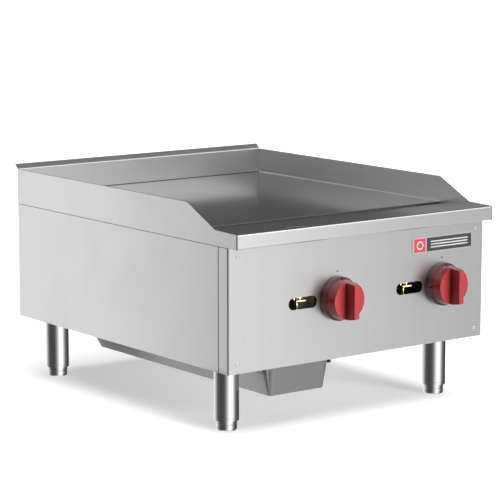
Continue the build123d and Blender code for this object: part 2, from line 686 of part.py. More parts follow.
def manifold():
    """Pipe behind the front panel that feeds both burner valves and both pilots."""
    end_x = SUPPLY_X - ELBOW_ARM
    tube = pipe((MANIFOLD_START_X, MANIFOLD_Y, MANIFOLD_Z), (end_x, MANIFOLD_Y, MANIFOLD_Z))
    for x in KNOB_X:
        tube -= rod((x, MANIFOLD_Y, MANIFOLD_Z), (x, MANIFOLD_Y, KNOB_Z), VALVE_INLET_RADIUS)
    for x in BURNER_X:
        feed_x = x + PILOT_FEED_OFFSET
        tube -= rod((feed_x, MANIFOLD_Y, MANIFOLD_Z), (feed_x, MANIFOLD_Y, KNOB_Z),
                    PILOT_SPIGOT_RADIUS)
    return tube


def manifold_elbow():
    """Cast elbow that turns the manifold to the supply pipe."""
    corner = (SUPPLY_X, MANIFOLD_Y, MANIFOLD_Z)
    arms = [(SUPPLY_X - ELBOW_ARM, MANIFOLD_Y, MANIFOLD_Z),
            (SUPPLY_X, MANIFOLD_Y + ELBOW_ARM, MANIFOLD_Z)]
    ball = Pos(*corner) * Sphere(ELBOW_RADIUS)
    bore = PIPE_RADIUS - PIPE_WALL
    outer = fused([ball] + [rod(arm, corner, ELBOW_RADIUS) for arm in arms])
    inner = fused([Pos(*corner) * Sphere(bore)] + [rod(arm, corner, bore) for arm in arms])
    return outer - inner


def supply_pipe():
    """Pipe from the elbow back through the rear panel, its end threaded for the gas hose."""
    start = (SUPPLY_X, MANIFOLD_Y + ELBOW_ARM, MANIFOLD_Z)
    end = (SUPPLY_X, BACK_Y + INLET_STAND_OUT, MANIFOLD_Z)
    thread_start = (SUPPLY_X, end[1] - INLET_THREAD_LENGTH, MANIFOLD_Z)
    outer = rod(start, thread_start, PIPE_RADIUS) + rod(thread_start, end, INLET_THREAD_RADIUS)
    return outer - rod(start, end, PIPE_RADIUS - PIPE_WALL)


def manifold_plug():
    """Square-headed plug that closes the left end of the manifold."""
    flange = rod((MANIFOLD_START_X - PLUG_LENGTH / 2, MANIFOLD_Y, MANIFOLD_Z),
                 (MANIFOLD_START_X, MANIFOLD_Y, MANIFOLD_Z), PIPE_RADIUS + PIPE_WALL)
    head = block((MANIFOLD_START_X - PLUG_LENGTH, MANIFOLD_START_X - PLUG_LENGTH / 2),
                 around(MANIFOLD_Y, PLUG_SQUARE), around(MANIFOLD_Z, PLUG_SQUARE))
    return flange + head


def manifold_bracket(burner_x):
    """Bent strip that stands on the base pan and cradles the manifold."""
    x = burner_x + BRACKET_OFFSET
    low = BODY_BOTTOM + BASE_SHEET + PANEL_SHEET
    top = MANIFOLD_Z - PIPE_RADIUS
    foot_y = (PANEL_INNER_Y + PANEL_SHEET, MANIFOLD_Y + BRACKET_WIDTH)
    post_y = around(MANIFOLD_Y, BRACKET_THICKNESS)
    return fused([
        block(around(x, BRACKET_WIDTH), foot_y, (low, low + BRACKET_THICKNESS)),
        block(around(x, BRACKET_WIDTH), post_y, (low, top)),
    ])


# ---------------------------------------------------------------- valves and knobs
def valve_body(x):
    """Brass gas valve screwed into the top of the manifold, stem to the front."""
    seat = MANIFOLD_TOP + VALVE_SEAT
    core = block(around(x, VALVE_WIDTH), (VALVE_FRONT_Y, VALVE_BACK_Y),
                 (seat, KNOB_Z + VALVE_TOP_RISE))
    inlet = rod((x, MANIFOLD_Y, MANIFOLD_TOP - PIPE_WALL), (x, MANIFOLD_Y, seat),
                VALVE_INLET_RADIUS)
    return core + inlet - rod((x, VALVE_FRONT_Y, KNOB_Z), (x, MANIFOLD_Y, KNOB_Z),
                              STEM_RADIUS + STEM_CLEARANCE)


def valve_stem(x):
    """Valve spindle, from inside the valve through the panel and into the knob."""
    return rod((x, PANEL_Y - STEM_ENGAGEMENT, KNOB_Z), (x, MANIFOLD_Y - STEM_SEAT, KNOB_Z), STEM_RADIUS)


def burner_orifice(x):
    """Brass spud at the back of the valve that jets gas into the burner's mixer."""
    outer = rod((x, VALVE_BACK_Y, KNOB_Z), (x, ORIFICE_TIP_Y, KNOB_Z), ORIFICE_RADIUS)
    return outer - rod((x, VALVE_BACK_Y, KNOB_Z), (x, ORIFICE_TIP_Y, KNOB_Z), ORIFICE_BORE)


def knob(x):
    """Moulded knob: skirt, tapered drum, raised grip bar and a small pointer on top."""
    back_y = PANEL_Y - KNOB_BACK_GAP
    skirt_y = PANEL_Y - KNOB_SKIRT_DEPTH
    face_y = PANEL_Y - KNOB_FACE_DEPTH
    front_y = PANEL_Y - KNOB_PROJECTION
    profile = [(0, back_y), (KNOB_SKIRT_RADIUS, back_y), (KNOB_SKIRT_RADIUS, skirt_y),
               (KNOB_RIM_RADIUS, skirt_y - KNOB_SKIRT_BEVEL), (KNOB_FACE_RADIUS, face_y), (0, face_y)]
    drum = revolve(make_face(Polyline(*profile, close=True)), Axis.Y)

    def grip_section(y, width):
        reach = KNOB_FACE_RADIUS * 2 - (KNOB_GRIP_TAPER * 2 if y < face_y else 0)
        outline = Plane(origin=(0, y, 0), x_dir=(1, 0, 0), z_dir=(0, -1, 0)) * Rectangle(
            width, reach)
        return outline

    grip = loft([grip_section(face_y, KNOB_GRIP_BASE), grip_section(front_y, KNOB_GRIP_FRONT)])
    grip &= rod((0, face_y, 0), (0, front_y, 0), KNOB_FACE_RADIUS)
    pointer_z = KNOB_RIM_RADIUS - KNOB_POINTER / 2
    pointer = block(around(0, KNOB_POINTER), (skirt_y - KNOB_SKIRT_BEVEL - KNOB_POINTER_LENGTH,
                                                  skirt_y - KNOB_SKIRT_BEVEL),
                    (pointer_z, pointer_z + KNOB_POINTER))
    cavity = rod((0, back_y + CUT_MARGIN, 0), (0, PANEL_Y - KNOB_CAVITY_DEPTH, 0),
                 KNOB_FACE_RADIUS - KNOB_WALL)
    boss = rod((0, back_y - KNOB_BOSS_SETBACK, 0), (0, PANEL_Y - KNOB_CAVITY_DEPTH, 0), KNOB_BOSS_RADIUS)
    bore = rod((0, back_y + CUT_MARGIN, 0), (0, PANEL_Y - STEM_ENGAGEMENT, 0),
               STEM_RADIUS + STEM_CLEARANCE)
    shape = fused([drum, grip, pointer]) - (cavity - boss) - bore
    return Pos(x, 0, KNOB_Z) * shape


# ---------------------------------------------------------------- burners
def mixer_windows(inlet_x):
    """Cutter for the air windows through the mixer and the shutter round it."""
    mid_y = MIXER_MOUTH_Y + SHUTTER_LENGTH / 2
    reach = 2 * MIXER_RADIUS
    return block(around(inlet_x, SHUTTER_WINDOW_WIDTH), around(mid_y, SHUTTER_WINDOW_LENGTH),
                 (KNOB_Z - reach, KNOB_Z + reach))


def burner(centre_x, inlet_x):
    """Tube burner: mixer, header across the front and two slotted legs running back."""
    outer_leg_x = 2 * centre_x - inlet_x

    def straight(radius, start_y, stop_y):
        return rod((inlet_x, start_y, KNOB_Z), (inlet_x, stop_y, KNOB_Z), radius)

    def bent(radius, stop_y):
        path = FilletPolyline((outer_leg_x, stop_y), (outer_leg_x, BURNER_HEADER_Y),
                              (inlet_x, BURNER_HEADER_Y), radius=BURNER_BEND)
        section = Plane(origin=(outer_leg_x, stop_y, 0), z_dir=(0, -1, 0)) * Circle(radius)
        return Pos(0, 0, KNOB_Z) * sweep(section, path)

    inner = BURNER_TUBE_RADIUS - BURNER_WALL
    shell = fused([straight(BURNER_TUBE_RADIUS, MIXER_END_Y, BURNER_END_Y),
                   straight(MIXER_RADIUS, MIXER_MOUTH_Y, MIXER_END_Y),
                   bent(BURNER_HEADER_RADIUS, BURNER_END_Y)])
    shell -= straight(inner, MIXER_MOUTH_Y - CUT_MARGIN, BURNER_END_Y - BURNER_WALL)
    shell -= bent(BURNER_HEADER_RADIUS - BURNER_WALL, BURNER_END_Y - BURNER_WALL)
    shell -= mixer_windows(inlet_x)
    pitch = (BURNER_END_Y - BURNER_HEADER_Y) / (BURNER_PORTS + 1)
    top = KNOB_Z + BURNER_HEADER_RADIUS
    for leg_x in (inlet_x, outer_leg_x):
        for index in range(BURNER_PORTS):
            y = BURNER_HEADER_Y + (index + 1) * pitch
            shell -= block(around(leg_x, BURNER_PORT_LENGTH), around(y, BURNER_PORT_WIDTH),
                           (top - 2 * BURNER_WALL, top + 2 * BURNER_WALL))
    return shell


def air_shutter(inlet_x):
    """Sleeve turned on the mixer's mouth to open or close its air windows."""
    start = (inlet_x, MIXER_MOUTH_Y, KNOB_Z)
    end = (inlet_x, MIXER_END_Y, KNOB_Z)
    inner_radius = MIXER_RADIUS + SLIDE_CLEARANCE
    sleeve = rod(start, end, inner_radius + SHUTTER_WALL) - rod(start, end, inner_radius)
    return sleeve - mixer_windows(inlet_x)


# ---------------------------------------------------------------- pilots
def pilot_valve(feed_x):
    """Small brass valve on the manifold, bored at the front for its adjusting screw."""
    top = MANIFOLD_TOP + PILOT_VALVE_HEIGHT
    body = rod((feed_x, MANIFOLD_Y, MANIFOLD_TOP), (feed_x, MANIFOLD_Y, top), PILOT_VALVE_RADIUS)
    spigot = rod((feed_x, MANIFOLD_Y, MANIFOLD_TOP - PIPE_WALL), (feed_x, MANIFOLD_Y, top),
                 PILOT_SPIGOT_RADIUS)
    hole = rod((feed_x, MANIFOLD_Y - 2 * PILOT_VALVE_RADIUS, PILOT_SCREW_Z),
               (feed_x, MANIFOLD_Y, PILOT_SCREW_Z), PILOT_SCREW_RADIUS + STEM_CLEARANCE)
    return body + spigot - hole


def pilot_screw(feed_x):
    """Slotted screw that meters the pilot's gas."""
    outer_y = MANIFOLD_Y - PILOT_VALVE_RADIUS - PILOT_SCREW_STAND_OUT
    screw = rod((feed_x, outer_y, PILOT_SCREW_Z), (feed_x, MANIFOLD_Y - STEM_SEAT, PILOT_SCREW_Z),
                PILOT_SCREW_RADIUS)
    slot = block(around(feed_x, 3 * PILOT_SCREW_RADIUS), around(outer_y, 2 * PILOT_SCREW_SLOT),
                 around(PILOT_SCREW_Z, PILOT_SCREW_SLOT))
    return screw - slot


def pilot_supply_tube(feed_x):
    """Thin tube up from the pilot valve to the pilot burner's body."""
    return rod((feed_x, PILOT_Y, MANIFOLD_TOP + PILOT_VALVE_HEIGHT),
               (feed_x, PILOT_Y, KNOB_Z - PILOT_BODY_RADIUS), PILOT_TUBE_RADIUS)


def pilot_burner(centre_x):
    """Brass pilot body lying across the slot, with two upright flame tips."""
    half = PILOT_BODY_LENGTH / 2
    side_x = centre_x + PILOT_SECOND_TIP
    top_z = KNOB_Z + PILOT_TIP_RISE

    def tube(start_x, start_z, end_x, end_z):
        return rod((start_x, PILOT_Y, start_z), (end_x, PILOT_Y, end_z), PILOT_TUBE_RADIUS)

    body = rod((centre_x - half, PILOT_Y, KNOB_Z), (centre_x + half, PILOT_Y, KNOB_Z),
               PILOT_BODY_RADIUS)
    ends = [Pos(x, PILOT_Y, top_z) * Sphere(PILOT_TUBE_RADIUS) for x in (side_x, centre_x)]
    return fused([
        body,
        tube(centre_x, KNOB_Z, centre_x, top_z),
        tube(side_x, KNOB_Z + PILOT_BODY_RADIUS, side_x, top_z),
        tube(side_x, top_z, centre_x, top_z),
    ] + ends)


def pilot_bracket(centre_x):
    """Strip hung from the front panel's top flange that carries the pilot burner."""
    y = PILOT_Y + PILOT_TUBE_RADIUS
    x_span = around(centre_x, 2 * PILOT_VALVE_RADIUS)
    top = BODY_TOP - PANEL_SHEET
    low = KNOB_Z + PILOT_BODY_RADIUS + PILOT_BRACKET_SHEET
    return fused([
        block(x_span, (y, y + PILOT_BRACKET_SHEET), (low, top)),
        block(x_span, (PANEL_INNER_Y, y + PILOT_BRACKET_SHEET), (top - PILOT_BRACKET_SHEET, top)),
    ])


# ---------------------------------------------------------------- trim
def rounded_plate(x_span, z_span, y_span, corner):
    """Thin upright plate on the front panel with rounded corners."""
    plate = block(x_span, y_span, z_span)
    return fillet(plate.edges().filter_by(Axis.Y), corner)


def badge():
    """Blank badge: an aluminium plate with one red and one grey enamel field."""
    plate_x = around(KNOB_X[1], BADGE_LENGTH)
    plate_z = around(BADGE_Z, BADGE_HEIGHT)
    face_y = PANEL_Y - BADGE_THICKNESS
    plate = rounded_plate(plate_x, plate_z, (face_y, PANEL_Y), BADGE_CORNER)
    inlay_y = (face_y - BADGE_INLAY, face_y)
    field_z = (plate_z[0] + BADGE_BORDER, plate_z[1] - BADGE_BORDER)
    red_left = plate_x[0] + 2 * BADGE_BORDER
    red_x = (red_left, red_left + BADGE_SQUARE)
    grey_x = (red_x[1] + BADGE_FIELD_GAP, plate_x[1] - BADGE_BORDER)
    return plate, block(red_x, inlay_y, field_z), block(grey_x, inlay_y, field_z)


def index_marks():
    """Small round mark above each knob that its pointer lines up with."""
    z = KNOB_Z + INDEX_RISE
    return [rod((x, PANEL_Y - INDEX_THICKNESS, z), (x, PANEL_Y, z), INDEX_RADIUS) for x in KNOB_X]


# ---------------------------------------------------------------- write every node
def main():
    os.makedirs("parts", exist_ok=True)

    save("griddle_plate", griddle_plate())
    save("back_splash", back_splash())
    save("grease_trough", grease_trough())
    save("grease_chute", grease_chute())
    save("front_panel", front_panel())
    save("rear_panel", rear_panel())
    save("base_pan", base_pan())
    save("panel_screws", *panel_screws())
    save("front_cross_member", cross_member(BURNER_HEADER_Y + CROSSMEMBER_INSET))
    save("rear_cross_member", cross_member(BURNER_END_Y - CROSSMEMBER_INSET))
    for side in SIDES:
        save(f"side_splash_{side}", side_splash(side))
        save(f"side_panel_{side}", side_panel(side))
        save(f"tray_rail_{side}", tray_rail(side))
    save("grease_tray", grease_tray())

    legs = leg_places()
    for name, (x, y) in legs.items():
        save(f"{name}_leg", leg_tube(x, y))
        save(f"{name}_foot", foot(x, y))
    save("leg_plates", *[leg_plate(x, y) for x, y in legs.values()])
    save("leg_inserts", *[leg_insert(x, y) for x, y in legs.values()])
    save("leg_bolts", *[leg_bolt(x, y) for x, y in leg_bolt_places()])
    save("leg_nuts", *[leg_nut(x, y) for x, y in leg_bolt_places()])

    save("gas_manifold", manifold())
    save("manifold_elbow", manifold_elbow())
    save("gas_supply_pipe", supply_pipe())
    save("manifold_plug", manifold_plug())
    save("manifold_brackets", *[manifold_bracket(x) for x in BURNER_X])

    for side, knob_x, burner_x in zip(SIDES, KNOB_X, BURNER_X):
        feed_x = burner_x + PILOT_FEED_OFFSET
        save(f"knob_{side}", knob(knob_x))
        save(f"valve_stem_{side}", valve_stem(knob_x))
        save(f"valve_body_{side}", valve_body(knob_x))
        save(f"burner_orifice_{side}", burner_orifice(knob_x))
        save(f"burner_{side}", burner(burner_x, knob_x))
        save(f"air_shutter_{side}", air_shutter(knob_x))
        save(f"pilot_valve_{side}", pilot_valve(feed_x))
        save(f"pilot_screw_{side}", pilot_screw(feed_x))
        save(f"pilot_supply_tube_{side}", pilot_supply_tube(feed_x))
        save(f"pilot_burner_{side}", pilot_burner(burner_x))
    save("pilot_brackets", *[pilot_bracket(x) for x in BURNER_X])

    plate, red_field, grey_field = badge()
    save("badge_plate", plate)
    save("badge_red_field", red_field)
    save("badge_grey_field", grey_field)
    save("index_marks", *index_marks())


main()
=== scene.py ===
import math

import bmesh
import bpy
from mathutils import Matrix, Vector


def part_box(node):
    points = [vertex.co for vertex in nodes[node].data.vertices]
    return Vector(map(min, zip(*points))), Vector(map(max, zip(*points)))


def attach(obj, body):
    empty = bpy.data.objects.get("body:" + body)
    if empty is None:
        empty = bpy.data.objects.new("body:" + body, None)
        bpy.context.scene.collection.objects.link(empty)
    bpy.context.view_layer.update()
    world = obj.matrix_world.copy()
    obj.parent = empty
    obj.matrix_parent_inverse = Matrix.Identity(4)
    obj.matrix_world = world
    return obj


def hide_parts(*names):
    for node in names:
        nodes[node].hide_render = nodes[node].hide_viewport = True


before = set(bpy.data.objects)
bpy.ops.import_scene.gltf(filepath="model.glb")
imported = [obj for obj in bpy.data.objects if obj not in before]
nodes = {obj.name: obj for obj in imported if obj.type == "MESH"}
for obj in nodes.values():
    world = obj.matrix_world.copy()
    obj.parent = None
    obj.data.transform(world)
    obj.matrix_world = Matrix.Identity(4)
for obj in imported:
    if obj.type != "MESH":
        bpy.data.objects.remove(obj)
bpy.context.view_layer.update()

# ---------------------------------------------------------------- Studio
# A white sweep seen from the customer's left, a little above the worktop, through a long
# lens. A wide softbox overhead lights the sweep and a low one in front lights the knobs
# and the badge; the bare metal is lit by what it reflects of the room.
scene = bpy.context.scene
scene.view_settings.view_transform = "Standard"
LENS_MM = 159.9
EYE = Vector((-2.5983, -3.4550, 0.9763))
LOOK_AT = Vector((0.01209, 0.0178, 0.27055))
camera = bpy.data.objects.new("camera", bpy.data.cameras.new("camera"))
camera.data.lens = LENS_MM
camera.data.clip_end = 200.0
camera.location = EYE
camera.rotation_euler = (LOOK_AT - EYE).to_track_quat("-Z", "Y").to_euler()
scene.collection.objects.link(camera)
scene.camera = camera


class Wire:
    """An output of a shader node. Arithmetic on wires adds Math nodes."""

    def __init__(self, tree, socket=None):
        self.tree = tree
        self.socket = socket

    def node(self, kind, settings=None, inputs=None, output=0):
        """Adds a node: its settings come first, then the values or wires of its inputs."""
        made = self.tree.nodes.new("ShaderNode" + kind)
        for key, value in (settings or {}).items():
            if key == "stops":
                ramp = made.color_ramp
                while len(ramp.elements) < len(value):
                    ramp.elements.new(1.0)
                for element, (place, shade) in zip(ramp.elements, value):
                    element.position = place
                    element.color = (shade, shade, shade, 1.0) if isinstance(shade, float) else shade
            else:
                setattr(made, key, value)
        for key, value in (inputs or {}).items():
            if isinstance(value, Wire):
                self.tree.links.new(value.socket, made.inputs[key])
            else:
                made.inputs[key].default_value = value
        return Wire(self.tree, made.outputs[output] if made.outputs else None)

    def outputs(self):
        """Every output of the node this wire comes from."""
        return [Wire(self.tree, socket) for socket in self.socket.node.outputs]

    def maths(self, operation, first, second=0.0):
        return self.node("Math", {"operation": operation}, {0: first, 1: second})

    def __add__(self, other):
        return self.maths("ADD", self, other)

    __radd__ = __add__

    def __sub__(self, other):
        return self.maths("SUBTRACT", self, other)

    def __rsub__(self, other):
        return self.maths("SUBTRACT", other, self)

    def __mul__(self, other):
        return self.maths("MULTIPLY", self, other)

    __rmul__ = __mul__

    def __truediv__(self, other):
        return self.maths("DIVIDE", self, other)

    def smooth(self, low, high):
        """Eases from 0 at low to 1 at high."""
        settings = {"interpolation_type": "SMOOTHSTEP"}
        return self.node("MapRange", settings, {"Value": self, "From Min": low, "From Max": high})

    def tint(self, shades):
        """Colour between two or more (place, colour) stops."""
        return self.node("ValToRGB", {"stops": shades}, {"Fac": self})

    def blend(self, first, second):
        """Colour that goes from first to second as this wire goes from 0 to 1."""
        return self.node("Mix", {"data_type": "RGBA"}, {0: self, 6: first, 7: second}, 2)


def grey(value):
    return (value, value, value, 1.0)


# The room as its metal sees it: one ramp for each compass direction near the horizon,
# from the rear round by the left, the front and the right; one for the band above it, and
# the ceiling, which is bright towards the front. The pairs of numbers are how steeply up
# or down a reflection looks where one gives way to the next. Matt surfaces get a faint fill.
HORIZON = [(0.0, 0.40), (0.10, 0.42), (0.16, 0.38), (0.20, 0.30), (0.33, 0.30), (0.372, 0.34),
           (0.42, 0.42), (0.47, 0.80), (0.55, 1.10), (0.583, 1.05), (0.614, 0.82), (0.65, 0.52),
           (0.70, 0.40), (0.80, 0.25), (0.85, 0.14), (0.93, 0.14), (1.0, 0.40)]
ABOVE = [(0.0, 0.35), (0.08, 0.42), (0.20, 0.40), (0.36, 0.16), (0.42, 0.24), (0.55, 1.30),
         (0.66, 1.25), (0.76, 0.40), (0.84, 0.11), (0.93, 0.10), (1.0, 0.35)]
HORIZON_ENDS = (0.02, 0.14)
CEILING_FRONT = 1.45
CEILING_REAR = 0.07
CEILING_TURNS = (0.04, 0.60)
CEILING_STARTS = (0.34, 0.52)
FLOOR_SHINE = 0.72
FLOOR_STARTS = (0.20, 0.36)
ROOM_FILL = 0.04
world = bpy.data.worlds.new("studio")
scene.world = world
world.use_nodes = True
world.node_tree.nodes.clear()
sky = Wire(world.node_tree)
bearing = sky.node("TexCoord", output="Generated")
east, north, height = sky.node("SeparateXYZ", inputs={0: bearing}).outputs()
compass = sky.maths("ARCTAN2", east, north * -1.0) / (2 * math.pi) + 0.5
band = height.smooth(*HORIZON_ENDS).blend(compass.tint(HORIZON), compass.tint(ABOVE))
ceiling = (north * -1.0).smooth(*CEILING_TURNS).blend(grey(CEILING_REAR), grey(CEILING_FRONT))
above = height.smooth(*CEILING_STARTS).blend(band, ceiling)
shine = (height * -1.0).smooth(*FLOOR_STARTS).blend(above, grey(FLOOR_SHINE))
camera_ray, _, _, glossy_ray = sky.node("LightPath").outputs()[:4]
lit = glossy_ray.blend(grey(ROOM_FILL), shine)
background = sky.node("Background", inputs={"Color": camera_ray.blend(lit, grey(1.0))})
sky.node("OutputWorld", inputs={"Surface": background})


def fresh_object(name, mesh):
    made = bpy.data.objects.new(name, mesh)
    scene.collection.objects.link(made)
    return made


FLOOR_HALF = 60.0
FLOOR_GLOW = 0.42
FLOOR_WHITE = 0.76
floor_mesh = bpy.data.meshes.new("floor")
corners = [(x * FLOOR_HALF, y * FLOOR_HALF, 0.0) for x, y in ((-1, -1), (1, -1), (1, 1), (-1, 1))]
floor_mesh.from_pydata(corners, [], [(0, 1, 2, 3)])
floor = fresh_object("floor", floor_mesh)
floor.visible_glossy = False
floor.visible_diffuse = False
floor_finish = bpy.data.materials.new("white_sweep")
floor_finish.use_nodes = True
floor_finish.node_tree.nodes.clear()
sweep = Wire(floor_finish.node_tree)
matt = sweep.node("BsdfDiffuse", inputs={"Color": grey(FLOOR_WHITE)})
glow = sweep.node("Emission", inputs={"Color": grey(1.0), "Strength": FLOOR_GLOW})
both = sweep.node("AddShader", inputs={0: matt, 1: glow})
sweep.node("OutputMaterial", inputs={"Surface": both})
floor_mesh.materials.append(floor_finish)


def distant_light(name, strength, spread, heading):
    """Even light of one direction, from a source that looks spread degrees wide."""
    lamp = bpy.data.lights.new(name, "SUN")
    lamp.energy = strength
    lamp.angle = math.radians(spread)
    light = fresh_object(name, lamp)
    light.rotation_euler = Vector(heading).to_track_quat("-Z", "Y").to_euler()
    light.visible_glossy = False
    return light


SOFTBOX_POWER = 3.6
SOFTBOX_SPREAD = 62.0
SOFTBOX_HEADING = (0.03, 0.16, -0.98)
FRONT_POWER = 4.5
FRONT_SPREAD = 30.0
FRONT_HEADING = (-0.20, 0.97, -0.10)
overhead = distant_light("ceiling_softbox", SOFTBOX_POWER, SOFTBOX_SPREAD, SOFTBOX_HEADING)
lit_from_above = bpy.data.collections.new("lit_from_above")
lit_from_above.objects.link(floor)
overhead.light_linking.receiver_collection = lit_from_above
distant_light("front_light", FRONT_POWER, FRONT_SPREAD, FRONT_HEADING)


# ---------------------------------------------------------------- Legs and feet
# Four legs of chrome-plated steel tube, welded to square plates under the base pan.
# Each holds a threaded foot, also plated, which screws in and out to level the griddle.
MM = 0.001


def begin_finish(name, shade, rough, metallic=1.0, coat=0.0):
    """Starts a finish, bare metal unless told; returns it, its start wire and its shader."""
    finish = bpy.data.materials.new(name)
    finish.use_nodes = True
    tree = finish.node_tree
    shader = tree.nodes["Principled BSDF"]
    shader.inputs["Base Color"].default_value = shade
    shader.inputs["Roughness"].default_value = rough
    shader.inputs["Metallic"].default_value = metallic
    shader.inputs["Coat Weight"].default_value = coat
    return finish, Wire(tree), shader


def feed(shader, **wires):
    """Connects wires to the shader's sockets, with _ for a space in a socket's name."""
    for name, wire in wires.items():
        wire.tree.links.new(wire.socket, shader.inputs[name.replace("_", " ")])


def streaks(start, stretch, detail=3.0, roughness=0.6, seed=0.0):
    """Noise drawn out along the axes with the smaller numbers; stretch is in features per metre."""
    place = start.node("TexCoord", output="Object")
    moved = start.node("VectorMath", {"operation": "MULTIPLY_ADD"},
                       {0: place, 1: stretch, 2: (seed, seed, seed)})
    return start.node("TexNoise", {"noise_dimensions": "3D"},
                      {"Vector": moved, "Scale": 1.0, "Detail": detail, "Roughness": roughness})


def edges(start, radius):
    """1 along outside and inside corners, 0 on the flats."""
    rounded = start.node("Bevel", {"samples": 4}, {"Radius": radius})
    plain = start.node("NewGeometry", output="Normal")
    match = start.node("VectorMath", {"operation": "DOT_PRODUCT"}, {0: rounded, 1: plain}, "Value")
    return (1.0 - match).smooth(0.002, 0.06)


def ripple(start, height, depth, strength=1.0):
    """Bump from a height between 0 and 1 that stands for depth metres."""
    return start.node("Bump", inputs={"Height": height, "Strength": strength, "Distance": depth})


def chrome(name, shade, rough):
    """Bright plate over turned steel, a little smeared and worn along its rims."""
    lathe_grain = (60.0, 60.0, 2600.0)
    smear_grain = (30.0, 30.0, 14.0)
    worn_rim = 0.0012
    finish, start, shader = begin_finish(name, grey(shade), rough)
    turned = streaks(start, lathe_grain, 2.0)
    smears = streaks(start, smear_grain, 4.0, seed=3.0)
    rim = edges(start, worn_rim)
    dulled = smears.smooth(0.45, 0.75)
    feed(shader,
         Base_Color=(dulled * 0.5 + rim * 0.4).blend(grey(shade), grey(shade * 0.82)),
         Roughness=turned * 0.03 + dulled * 0.04 + (rim * 0.12 + rough),
         Normal=ripple(start, turned, 0.00001, 0.25))
    return finish


def turned_mesh(name, profile, axis_point, steps=96, closed=True):
    """Solid of revolution round an upright axis, from (radius, height) points in mm."""
    mesh = bpy.data.meshes.new(name)
    built = bmesh.new()
    ring = [built.verts.new((radius * MM, 0.0, height * MM)) for radius, height in profile]
    pairs = list(zip(ring, ring[1:] + ring[:1])) if closed else list(zip(ring, ring[1:]))
    threads = [built.edges.new(pair) for pair in pairs]
    bmesh.ops.spin(built, geom=ring + threads, axis=(0, 0, 1), cent=(0, 0, 0),
                   angle=2 * math.pi, steps=steps, use_duplicate=False)
    bmesh.ops.remove_doubles(built, verts=built.verts, dist=1e-6)
    bmesh.ops.recalc_face_normals(built, faces=built.faces)
    bmesh.ops.translate(built, verts=built.verts, vec=axis_point)
    built.to_mesh(mesh)
    built.free()
    for face in mesh.polygons:
        face.use_smooth = True
    return mesh


def sharpen(mesh, degrees):
    """Keeps edges above the given angle crisp."""
    mesh.set_sharp_from_angle(angle=math.radians(degrees))


def unseen(obj, diffuse=True):
    """Hides a light card from the camera; metal always sees it, matt surfaces if diffuse."""
    obj.visible_camera = False
    obj.visible_diffuse = diffuse
    obj.visible_shadow = False
    obj.visible_transmission = False


def glow_finish(name, shade, one_sided=False):
    """Material that only gives light, on both sides of its sheet or on the side it faces.
    The shade is a colour, or a function that makes one from the start wire."""
    finish = bpy.data.materials.new(name)
    finish.use_nodes = True
    finish.node_tree.nodes.clear()
    start = Wire(finish.node_tree)
    colour = shade(start) if callable(shade) else shade
    light = start.node("Emission", inputs={"Color": colour})
    if one_sided:
        behind = start.node("NewGeometry", output="Backfacing")
        clear = start.node("BsdfTransparent")
        light = start.node("MixShader", inputs={0: behind, 1: light, 2: clear})
    start.node("OutputMaterial", inputs={"Surface": light})
    return finish


# Light and black cloth hung round each leg: how far round, from the rear by the left, the
# front and the right, and how bright it is there. Nothing but the leg sees it.
TENT = [(0.007, 1.0), (0.044, 0.95), (0.107, 0.62), (0.15, 0.34), (0.18, 0.15), (0.21, 0.088),
        (0.264, 0.062), (0.333, 0.074), (0.354, 0.10), (0.376, 0.178), (0.397, 0.33), (0.418, 0.56),
        (0.44, 0.87), (0.461, 1.13), (0.483, 1.25), (0.518, 1.25), (0.543, 1.0), (0.568, 0.66),
        (0.595, 0.32), (0.625, 0.16), (0.67, 0.08), (0.735, 0.04), (0.80, 0.25), (0.88, 0.95)]
TENT_RADIUS = 0.080
TENT_SPAN = (-0.07, 0.108)
TENT_SIDES = 64


def round_the_leg(start):
    place = start.node("TexCoord", output="Object")
    east, north, _ = start.node("SeparateXYZ", inputs={0: place}).outputs()
    return (start.maths("ARCTAN2", east, north * -1.0) / (2 * math.pi) + 0.5).tint(TENT)


tent_finish = glow_finish("leg_tent", round_the_leg, one_sided=True)


def light_tent(name, middle):
    mesh = bpy.data.meshes.new(name)
    points = []
    for step in range(TENT_SIDES):
        turn = 2 * math.pi * step / TENT_SIDES
        x, y = TENT_RADIUS * math.cos(turn), TENT_RADIUS * math.sin(turn)
        points += [(x, y, height) for height in TENT_SPAN]
    count = len(points)
    faces = [(n, n + 1, (n + 3) % count, (n + 2) % count) for n in range(0, count, 2)]
    mesh.from_pydata(points, [], faces)
    mesh.materials.append(tent_finish)
    tent = fresh_object(name, mesh)
    tent.location = middle
    unseen(tent, diffuse=False)


